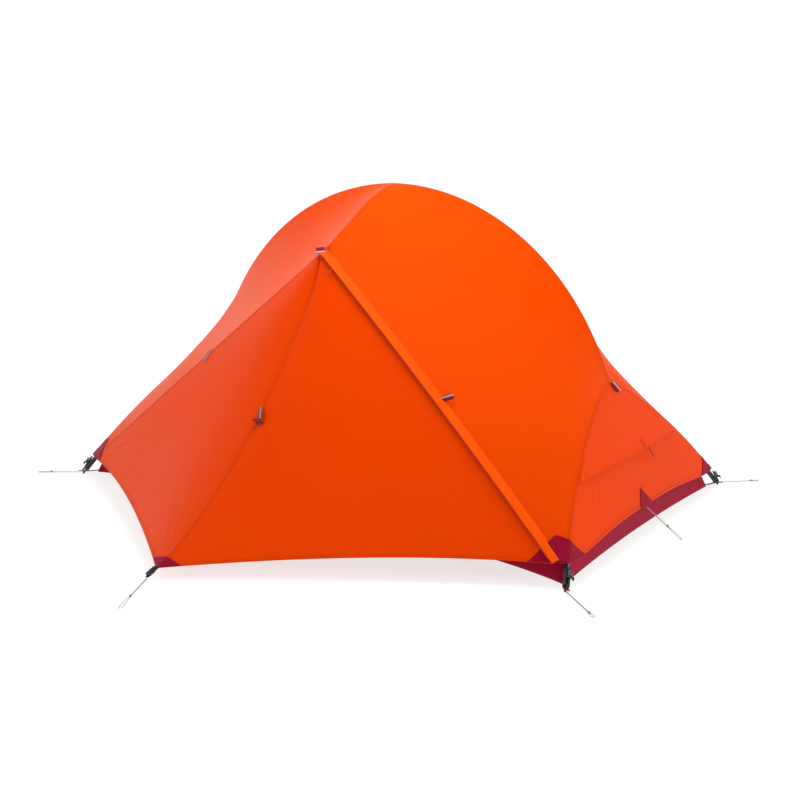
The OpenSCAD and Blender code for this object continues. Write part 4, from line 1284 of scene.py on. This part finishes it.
TAPE_START, TAPE_END = 0.012, 0.985
COIL_RISE = 0.0012


def zip_tape(off_from, off_to, up):
    t = np.linspace(TAPE_START, TAPE_END, ZIP_STEPS + 1)[:, None]
    share = np.linspace(0, 1, 5)[None]
    coil = COIL_RISE * np.cos(share * np.pi / 2) ** 6
    return zip_at(t, off_from + (off_to - off_from) * share, up + coil)


TAPE_W, TAPE_T, TAPE_LIFT, HALF_GAP = 0.011, 0.0010, 0.0022, 0.0003


def make_zips():
    """Both halves of each zip: the roof's half is fixed to the root, the door's half is laid in place like
    the door.
    """
    for side, turn in SIDES.items():
        for half, way in (("roof", 1), ("door", -1)):
            grid = zip_tape(way * HALF_GAP, way * TAPE_W, TAPE_LIFT) @ turn
            u = np.linspace(0, ZIP_CHORD, grid.shape[0])[:, None]
            v = np.linspace(0, TAPE_W, grid.shape[1])[None]
            tape = shell(f"zip_{half}_half_{side}", grid, ZIP_COIL, TAPE_T, uv=pair_up(u, v))
            if half == "roof":
                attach(tape, "root")
            else:
                blend_door(tape)
            if half == "roof" and side == "front":
                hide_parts("zip_tapes")


def sample(grid, normals, a, b, lift):
    """Points at shares a, b of a panel's grid, lifted off it."""
    n, m = grid.shape[0] - 1, grid.shape[1] - 1
    x, y = np.clip(a, 0, 1) * n, np.clip(b, 0, 1) * m
    i, j = np.minimum(x.astype(int), n - 1), np.minimum(y.astype(int), m - 1)
    fx, fy = (x - i)[..., None], (y - j)[..., None]

    def at(field):
        low = field[i, j] * (1 - fx) + field[i + 1, j] * fx
        high = field[i, j + 1] * (1 - fx) + field[i + 1, j + 1] * fx
        return low * (1 - fy) + high * fy

    return at(grid) + unit(at(normals)) * np.asarray(lift)[..., None]


PATCH_CELLS, PATCH_LIFT, DOUBLED_LIFT = 14, 0.0024, 0.0010


def patch(name, panel, corners, material=PATCH_CRIMSON, lift=PATCH_LIFT):
    """A reinforcing patch that lies on a panel. corners are four pairs of shares of its grid."""
    c = np.array(corners, float)
    p = np.linspace(0, 1, PATCH_CELLS)[:, None, None]
    q = np.linspace(0, 1, PATCH_CELLS)[None, :, None]
    ab = (1 - p) * ((1 - q) * c[0] + q * c[1]) + p * ((1 - q) * c[3] + q * c[2])
    grid = sample(panel_grid(panel), panel_normals(panel), ab[..., 0], ab[..., 1], lift)
    obj = sewn_cloth(name, grid, material, SEAM_T)
    return obj


ROOF_PATCH = ((1, 1), (1, 0.9), (0.955, 0.93), (0.925, 1))
DOOR_CORNER_PATCH = ((1, 1), (1, 0.955), (0.962, 0.978), (0.925, 1))
VESTIBULE_PATCH = ((0, 1), (0, 0.955), (0.027, 0.977), (0.055, 1))
END_PATCH = ((0, 1), (0, 0.9), (0.045, 0.95), (0.09, 1))
HEM_PATCH = ((0.453, 1), (0.485, 0.87), (0.485, 0.87), (0.530, 1))
ROOF_DOUBLED = ((0, 1), (0, 0.88), (0.022, 0.94), (0.045, 1))
DOOR_DOUBLED = ((0, 0), (0, 0.032), (1, 0.026), (1, 0))


def mirrored(corners):
    return tuple((1 - a, b) for a, b in corners)


def make_patches():
    """Crimson patches where the fly is pulled: its corners, the vestibule corners, the end hems."""
    for corner in SYMMETRY:
        obj = patch("patch_roof_" + corner, "fly_roof_" + corner, ROOF_PATCH)
        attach(obj, "root")
        if corner == "front_right":
            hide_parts("corner_patches")
        name = "doubled_roof_" + corner
        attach(patch(name, "fly_roof_" + corner, ROOF_DOUBLED, FLY_DOUBLED, DOUBLED_LIFT), "root")
    for side in ENDS:
        panel = "fly_end_" + side
        for place, corners in (("first", END_PATCH), ("last", mirrored(END_PATCH)), ("middle", HEM_PATCH)):
            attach(patch(f"patch_end_{side}_{place}", panel, corners), "root")
    places = (
        ("corner", DOOR_CORNER_PATCH, PATCH_CRIMSON),
        ("foot", VESTIBULE_PATCH, PATCH_CRIMSON),
        ("top", DOOR_DOUBLED, FLY_DOUBLED),
    )
    for side in SIDES:
        for place, corners, cloth in places:
            obj = patch(f"patch_door_{side}_{place}", "door_" + side, corners, cloth)
            blend_door(obj)
            obj = patch(f"patch_vestibule_{side}_{place}", "vestibule_panel_" + side, corners, cloth)
            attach(obj, "root")


TOP_SLIDER_T = 0.05


def make_zip_pulls():
    """A short loop of cord on each upper slider, which hangs out from under the storm flap."""
    for side, turn in SIDES.items():
        off = np.array([-0.006, -0.014, -0.024, -0.028, -0.022])
        up = np.array([0.0075, 0.0080, 0.0080, 0.0055, 0.0050])
        t = TOP_SLIDER_T + np.array([0.008, 0.012, 0.015, 0.019, 0.017])
        path = zip_at(t, off, up) @ turn
        section = circle_section(0.0017, 10)
        pull = sweep("zip_pull_cord_" + side, spline(path, 24), section, ZIP_N @ turn, PULL_CORD)
        fix(pull, "zip_top_" + side)


# ---- the inner tent -----------------------------------------------------------------------------

FLOOR_L, FLOOR_W, TUB_H = 2.142, 1.240, 0.100
SIDE_BOW, END_BOW = 0.090, 0.024
RIM_IN_X, RIM_IN_Y, RIM_SIDE_BOW, RIM_END_BOW = 0.030, 0.047, 0.010, 0.014
WALL_Y = FLOOR_W / 2 - RIM_IN_Y - RIM_SIDE_BOW - 0.001
WALL_Z = TUB_H + 0.004
BROW_TIP_Z = KNEE_Z - (BROW_REACH - KNEE_Y) * math.tan(BROW_BEND)
WALL_TOP = np.array([0, -BROW_REACH + 0.045, BROW_TIP_Z - 0.045])
WALL_LEAN = math.atan((WALL_Y + WALL_TOP[1]) / (WALL_TOP[2] - WALL_Z))
WALL_SLOPE = (WALL_TOP[2] - WALL_Z) / math.cos(WALL_LEAN)
WALL_HALF = FLOOR_L / 2 - 0.097
WALL_BOW = 0.055
SILL_H, INNER_DOOR_R, DOOR_PLAY = 0.014, 0.500, 0.004
INNER_CORNER_T = 0.79


OUTLINE_STEPS = 40


def floor_outline(x, y, side_bow, end_bow):
    t = np.linspace(0, 1, OUTLINE_STEPS, endpoint=False)
    front = np.stack([-x + 2 * x * t, -y + side_bow * (1 - (2 * t - 1) ** 4)], -1)
    right = np.stack([x - end_bow * (1 - (2 * t - 1) ** 2), -y + 2 * y * t], -1)
    return np.concatenate([front, right, -front, -right])


# The tub cloth's thickness, and how far its floor waves and its rim ripples.
FLOOR_T, FLOOR_WAVE, RIM_RIPPLE = 0.0009, 0.0008, 0.0010


def make_inner_floor():
    """The waterproof tub: a flat floor with low sides that lean in under the hems."""
    foot = floor_outline(FLOOR_L / 2, FLOOR_W / 2, SIDE_BOW, END_BOW)
    rim = floor_outline(FLOOR_L / 2 - RIM_IN_X, FLOOR_W / 2 - RIM_IN_Y, RIM_SIDE_BOW, RIM_END_BOW)
    rows = []
    for share in np.linspace(0, 0.985, 14):
        wave = FLOOR_WAVE * np.sin(foot[:, 0] * share * 23) * np.sin(foot[:, 1] * share * 31 + 1)
        rows.append(np.column_stack([foot * share, 0.0014 + wave * share]))
    for share in np.linspace(0, 1, 10):
        outline = foot * (1 - share) + rim * share
        along = np.arange(len(foot))
        ripple = RIM_RIPPLE * np.sin(along * 0.9) * math.sin(math.pi * share)
        level = np.full(len(foot), 0.0012 + share * TUB_H * 0.985)
        rows.append(np.column_stack([outline * (1 + ripple)[:, None], level]))
    grid = np.stack(rows, 0)
    n, m = grid.shape[:2]
    length = np.cumsum(np.linalg.norm(np.diff(foot, axis=0, append=foot[:1]), axis=1))[None]
    floor = build(
        "floor_tub",
        grid.reshape(-1, 3),
        tube_faces(n, m),
        FLOOR_CRIMSON,
        uv=pair_up(length, np.linspace(0, 1.2, n)[:, None]),
        seam=np.full(n * m, PLAIN_SEAM),
        thickness=FLOOR_T,
    )
    fix(floor, replaces="inner_floor")


def inner_ridge(s):
    """The inner tent's top line, which rises to each clip."""
    s = np.asarray(s, float)
    angle = (HUB_ANGLE - 1.5) * s
    sag = 0.006 * np.abs(np.sin(np.pi * angle / 14))
    return ridge_point(angle, -INNER_DROP - sag)


def inner_pole(t):
    return leg_point(INNER_CORNER_T * t, -INNER_DROP, -INNER_DROP)


def inner_leg(t):
    t = np.asarray(t, float)
    return mix(inner_ridge(1.0), inner_pole(t), np.minimum(1, 6 * t))


INNER_BROW_END = WALL_TOP + np.array([0, 0.002, 0.006])
INNER_HEM_PULL = np.array([-0.022, 0.014, -0.030])


def inner_brow(t):
    top = inner_ridge(0.0)
    return bezier(top, np.array([0, -0.210, top[2] - 0.010]), INNER_BROW_END, t)


def inner_hem(s):
    s = np.asarray(s, float)
    return mix(INNER_BROW_END, inner_pole(1.0), s) + INNER_HEM_PULL * (4 * s * (1 - s))[..., None]


def in_wall(x, up, out=0.0):
    """A point in the front wall's plane, which leans in to the brow pole's end."""
    x, up, out = np.broadcast_arrays(x, up, out)
    y = -WALL_Y + up * math.sin(WALL_LEAN) - out * math.cos(WALL_LEAN)
    return np.stack([x, y, WALL_Z + up * math.cos(WALL_LEAN) + out * math.sin(WALL_LEAN)], -1)


def wall_edge(t):
    side = np.array([-WALL_SLOPE, -WALL_HALF]) / math.hypot(WALL_SLOPE, WALL_HALF)
    line = mix(np.array([0, WALL_SLOPE]), np.array([WALL_HALF, 0]), t)
    return line + side * (WALL_BOW * 4 * t * (1 - t))[:, None]


def make_inner_canopy():
    roof = stretch(inner_ridge, inner_hem, inner_brow, inner_leg, cells=48)
    for corner, turn in SYMMETRY.items():
        grid = roof @ turn
        obj = sewn_cloth("canopy_" + corner, grid, INNER_CLOTH, CLOTH)
        fix(obj)
        if corner.startswith("front"):
            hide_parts("inner_canopy_" + corner.split("_")[1])
        declare_sheet(grid)
    t = np.linspace(0.06, 1, 41)
    half, slope = leg_2d(INNER_CORNER_T * t, -INNER_DROP)
    across = np.linspace(-1, 1, 41)[:, None]
    end = on_end(across * half[None], slope[None], -INNER_DROP - 0.002 - 0.004 * (1 - across**2))
    for side, turn in ENDS.items():
        grid = end @ turn
        obj = sewn_cloth("canopy_end_" + side, grid, INNER_NET, CLOTH)
        fix(obj)
        declare_sheet(grid)


def arch_point(angle, r):
    return r * np.cos(angle), SILL_H + r * np.sin(angle)


def make_inner_walls():
    """Each long side: a wall with a half-round door in it, and the zip that follows the door."""
    angles = np.linspace(0, np.pi, 61)
    t = np.linspace(1, 0.03, 31)
    right = wall_edge(t)
    outer = np.concatenate([right, right[-2::-1] * np.array([-1, 1])])
    inner = np.stack(arch_point(angles, INNER_DOOR_R), -1)
    share = np.linspace(0, 1, 16)[None, :, None]
    flat = inner[:, None] * (1 - share) + outer[:, None] * share
    wall = in_wall(flat[..., 0], flat[..., 1])
    r = INNER_DOOR_R - 2 * DOOR_PLAY
    disc = np.linspace(0.0, 1, 25)[None]
    door_x, door_up = arch_point(angles[:, None], r * disc)
    bulge = 0.006 * (1 - disc**2)
    door = in_wall(door_x, door_up + DOOR_PLAY, bulge)
    sill = in_wall(np.linspace(-WALL_HALF, WALL_HALF, 60)[:, None], np.linspace(0.0, SILL_H, 4)[None])
    for side, turn in SIDES.items():
        obj = sewn_cloth("wall_" + side, wall @ turn, INNER_NET, CLOTH)
        fix(obj, replaces="inner_wall_" + side)
        declare_sheet(wall @ turn)
        fix(sewn_cloth("wall_sill_" + side, sill @ turn, INNER_CLOTH, CLOTH))
        body = "inner_door_" + side
        obj = sewn_cloth("door_net_" + side, door @ turn, INNER_NET, CLOTH)
        fix(obj, body, body)
        declare_sheet(door @ turn)
        make_arch_tape(side, "wall", INNER_DOOR_R + 0.002, "root", turn)
        make_arch_tape(side, "door", r, body, turn)


ARCH_TAPE_W, ARCH_TAPE_LIFT = 0.010, 0.0012


def make_arch_tape(side, half, radius, body, turn):
    """One half of the zip round an inner door."""
    angles = np.linspace(0, np.pi, 121)[:, None]
    width = np.linspace(0, ARCH_TAPE_W, 4)[None] * (1 if half == "wall" else -1)
    x, up = arch_point(angles, radius + width)
    grid = in_wall(x, up + (0 if half == "wall" else DOOR_PLAY), ARCH_TAPE_LIFT) @ turn
    uv = pair_up(angles * radius, np.abs(width))
    fix(shell(f"arch_zip_{half}_{side}", grid, INNER_COIL, TAPE_T, uv=uv), body)


# ---- straps, tabs and cords ---------------------------------------------------------------------

STRAP_CLEAR = 0.0034
SLEEVE_R = 0.009
FLY_STRAP_W, TAIL_W, FLOOR_STRAP_W, TIP_TAB_W, TAB_T = 0.011, 0.010, 0.010, 0.010, 0.002
VESTIBULE_STRAP_W, VESTIBULE_TAIL_W = 0.014, 0.013


def black_strap(name, path, width, facing_way):
    return fix(strap(name, path, width, facing_way, BLACK_WEB))


def make_corner_straps():
    """Black webbing from each fly and floor corner to the pole tip, and a crimson tab at the tip."""
    head = leg_point(FLY_CORNER_T + 0.02, 0.004, FLY_OFF + 0.002)
    foot = leg_point(1 - 0.016 / LEG_CHORD - 0.004, 0, SLEEVE_R + STRAP_CLEAR)
    tip = leg_point(1.0, 0, 0.007) + UP * 0.004
    toe = leg_point(1.0, 0, -0.002) + UP * 0.008
    floor_corner = np.array([FLOOR_L / 2, -FLOOR_W / 2, 0.008])
    inside_floor = floor_corner + np.array([-0.02, 0.014, 0.004])
    middle = (floor_corner + toe) / 2 - UP * 0.001
    outward = unit(np.array([0.5, -0.5, 0]))
    # How far down the strap each point of its loose tail lies, and how far it stands off.
    hang = ((0.36, 0), (0.5, 0.010), (0.62, 0.016), (0.8, 0.013))
    tail = np.array([mix(head, foot, share) + END_OUT * out for share, out in hang])
    fly_strap = np.array([head + (head - foot) * 0.18, head, foot, tip])
    floor_strap = np.array([inside_floor, floor_corner, middle, toe])
    tab = np.array([tip + outward * 0.016 + UP * 0.002, tip + outward * 0.004, toe,
                    toe - outward * 0.010 + UP * 0.004])
    for corner, turn in SYMMETRY.items():
        obj = black_strap("corner_strap_" + corner, fly_strap @ turn, FLY_STRAP_W, END_OUT @ turn)
        if corner == "front_right":
            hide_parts("fly_corner_straps")
        black_strap("corner_strap_tail_" + corner, tail @ turn, TAIL_W, END_OUT @ turn)
        obj = black_strap("floor_strap_" + corner, floor_strap @ turn, FLOOR_STRAP_W, UP)
        if corner == "front_right":
            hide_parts("floor_corner_straps")
        obj = strap("tip_tab_" + corner, tab @ turn, TIP_TAB_W, UP, CRIMSON_WEB, TAB_T)
        fix(obj)


def make_vestibule_straps():
    start = VESTIBULE_CORNER + np.array([0, -0.003, -0.002])
    end = start + np.array([0, -0.038, -0.015])
    path = np.array([start + np.array([0, 0.020, 0.006]), start, mix(start, end, 0.5), end])
    tail = np.array([
        mix(start, end, 0.6) + UP * 0.006,
        mix(start, end, 0.25) + np.array([0.002, 0, 0.012]),
        start + np.array([0.006, 0.004, 0.011]),
    ])
    for side, turn in SIDES.items():
        black_strap("vestibule_strap_" + side, path @ turn, VESTIBULE_STRAP_W, UP)
        black_strap("vestibule_strap_tail_" + side, tail @ turn, VESTIBULE_TAIL_W, UP)


TAB_WEB_T, STRIPE_W, STRIPE_T, STRIPE_IN = 0.0014, 0.0050, 0.0019, 0.0034


def guy_tab(name, at, way, across, turn, reach=0.040, width=0.018):
    """A folded webbing tab sewn to a seam, with a reflective stripe woven in along one edge.

    way is where the tab points, and across is the way from its plain edge to its striped edge.
    """
    way = unit(np.asarray(way, float))
    across = unit(np.asarray(across, float) - way * (np.asarray(across, float) @ way))
    face = np.cross(across, way)
    gap, sewn_in = 0.0030, 0.006
    # One layer of the folded tab: how far out each point lies, and how far from the middle of the fold.
    layer = ((-sewn_in, 0.5), (reach * 0.5, 1), (reach * 0.92, 0.8))
    loop = [at + way * far + face * gap * off for far, off in layer]
    loop.append(at + way * reach)
    loop += [at + way * far - face * gap * off for far, off in layer[::-1]]
    stripe_at = across * (width / 2 - STRIPE_IN)
    for part, middle, wide, thick, material in (
        ("", 0, width, TAB_WEB_T, CRIMSON_WEB),
        ("_stripe", stripe_at, STRIPE_W, STRIPE_T, STRIPE_WEB),
    ):
        path = spline(np.array([point + middle for point in loop]) @ turn, 30)
        along = unit(np.gradient(path, axis=0))
        out = np.cross(np.broadcast_to(across @ turn, along.shape), along)
        fix(sweep(name + part, path, strap_section(wide, thick), out, material))


def make_guy_tabs():
    """Guyline tabs at both brow ends, on the zip, on two seams of each side, and at each hub."""
    seam_way = unit(seam_line(np.array(0.55)) - seam_line(np.array(0.53)))
    seam = seam_line(np.array(0.548))
    brow_at = BROW_END + np.array([0.004, 0.004, 0.010])
    zip_tab_at = zip_at(0.522, FLAP_WIDTH - FLAP_OVER, 0.004)
    zip_tab_way = (0.82, 0.57, 0.12) + ZIP_N * 0.35
    seam_tab_at = seam + np.array([0.002, -0.003, 0.006])
    seam_tab_way = seam_way + np.array([0.65, -0.20, 0.0])
    roof_at = zip_at(0.455) @ FLIP_X + (ZIP_N @ FLIP_X) * 0.001
    hub_at = on_end(0.014, LEG_SLOPE - 0.004, FLY_OFF + 0.004)
    for side, turn in SIDES.items():
        end = "right" if side == "front" else "left"
        guy_tab("tab_brow_" + side, brow_at, (-0.9, -0.45, -0.12), (0.1, -0.4, -0.9), turn, 0.026, 0.020)
        guy_tab("tab_zip_" + side, zip_tab_at, zip_tab_way, (0, -0.1, 1), turn)
        guy_tab("tab_seam_" + side, seam_tab_at, seam_tab_way, (0.8, -0.3, 0.3), turn, 0.042, 0.022)
        make_line_roll("tab_roll_" + side, seam, seam_way, turn)
        guy_tab("tab_roof_" + side, roof_at, (-0.35, -0.45, -0.75), (-0.1, -0.5, 0.7), turn, 0.050, 0.012)
        guy_tab("tab_hub_" + end, hub_at, (0.62, 0.30, -0.75), (0.4, 0.3, 0.6), turn, 0.034)
    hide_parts("guy_tabs")


def make_line_roll(name, seam, seam_way, turn):
    """The spare guyline, rolled up in the end of its tab, with its small line lock below."""
    middle = seam + seam_way * 0.030 + np.array([0.022, -0.018, 0.0])
    side = unit(np.array([0.82, 0.45, -0.25]))
    roll = np.array([middle - side * 0.017, middle, middle + side * 0.017]) @ turn
    fix(sweep(name, spline(roll, 12), circle_section(0.0055, 14), UP, CRIMSON_WEB))
    low = middle + seam_way * 0.010
    lock = np.array([low - side * 0.004, low + side * 0.004]) @ turn
    lock = sweep(name + "_lock", spline(lock, 4), circle_section(0.0035, 10), UP, BLACK_PLASTIC)
    fix(lock)


def mm(*values):
    return np.array(values, float) / 1000


CORD_D, STRAND, LOOP_HALF, LOOP_BACK = 0.0022, 0.0014, 0.005, 0.0045
GUYLINES = {
    "front_right": (mm(1112, -686, 9), mm(1255, -796, 3), 0.84),
    "back_right": (mm(1112, 686, 9), mm(1218, 812, 3), 0.80),
    "front_left": (mm(-1112, -686, 9), mm(-1264, -766, 3), 0.68),
    "back_left": (mm(-1112, 686, 9), mm(-1255, 796, 3), 0.80),
    "vestibule_front": (mm(4, -1347, 17), mm(84, -1530, 3), 0.62),
    "vestibule_back": (mm(-4, 1347, 17), mm(-84, 1530, 3), 0.62),
    "right_end": (mm(1086, -20, 92), mm(1222, -30, 3), 0.60),
    "left_end": (mm(-1086, 20, 92), mm(-1222, 30, 3), 0.60),
}


def guy_route(start, end, knot):
    """The cord runs out from the tent, round its small open loop and back, knotted part way."""
    way = end - start
    side = unit(np.cross(way, UP))
    back = unit(way) * LOOP_BACK
    strand = mix(start, end, np.linspace(0, knot, 11))
    wide = mix(start, end, np.array((1 + knot) / 2))
    out = side * LOOP_HALF
    loop = [wide + out, end - back + out, end, end - back - out, wide - out]
    return np.concatenate([strand + side * STRAND, loop, strand[::-1] - side * STRAND])


def make_guylines():
    for name, (start, end, knot) in GUYLINES.items():
        route = guy_route(start, end, knot)
        path = spline(route, 120)
        cord = sweep("guy_" + name, path, circle_section(CORD_D / 2, 10), UP, GUY_CORD)
        fix(cord, replaces="guyline_" + name)
        tie = make_knot("knot_" + name, mix(start, end, np.array(knot)), unit(end - start))


def make_knot(name, at, way):
    """An overhand knot in the doubled cord."""
    side = unit(np.cross(way, UP))
    up = np.cross(side, way)
    a = np.linspace(0, 2 * np.pi, 64)
    r = 0.0028 + 0.0012 * np.cos(3 * a)
    x, y, z = r * np.cos(2 * a), r * np.sin(2 * a), 0.0026 * np.sin(3 * a)
    path = at + way * (x * 1.3)[:, None] + side * y[:, None] + up * (z + 0.0012)[:, None]
    path[:, 2] = np.maximum(path[:, 2], 0.0013)
    return fix(sweep(name, path, circle_section(0.0012, 8), unit(path - at) + 1e-6, GUY_CORD))


# ---- carried-over CAD parts ---------------------------------------------------------------------

CAD_MATERIALS = {
    "hub_": BLACK_PLASTIC,
    "brow_swivel": BLACK_PLASTIC,
    "pole_clips": BLACK_PLASTIC,
    "strap_buckles": BLACK_PLASTIC,
    "foot_sleeves": SLEEVE_PLASTIC,
    "pole_tips": TIP_METAL,
    "pole_ferrules": BARE_METAL,
    "shock_cords": SHOCK_CORD,
    "ridge_pole": POLE_METAL,
    "leg_pole": POLE_METAL,
    "brow_pole": POLE_METAL,
    "zip_top": PULL_RED,
    "zip_bottom": PULL_RED,
    "inner_zip": PULL_RED,
}


def finish_cad_parts():
    for name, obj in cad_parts.items():
        found = [m for start, m in CAD_MATERIALS.items() if name.startswith(start)]
        if found:
            obj.data.materials.clear()
            obj.data.materials.append(found[0])


make_camera()
make_guylines()
make_stage()
make_fly_roofs()
make_vestibules()
make_fly_ends()
make_roof_seams()
make_hems()
make_flaps()
make_zips()
make_patches()
make_zip_pulls()
make_inner_floor()
make_inner_canopy()
make_inner_walls()
make_corner_straps()
make_vestibule_straps()
make_guy_tabs()
finish_cad_parts()
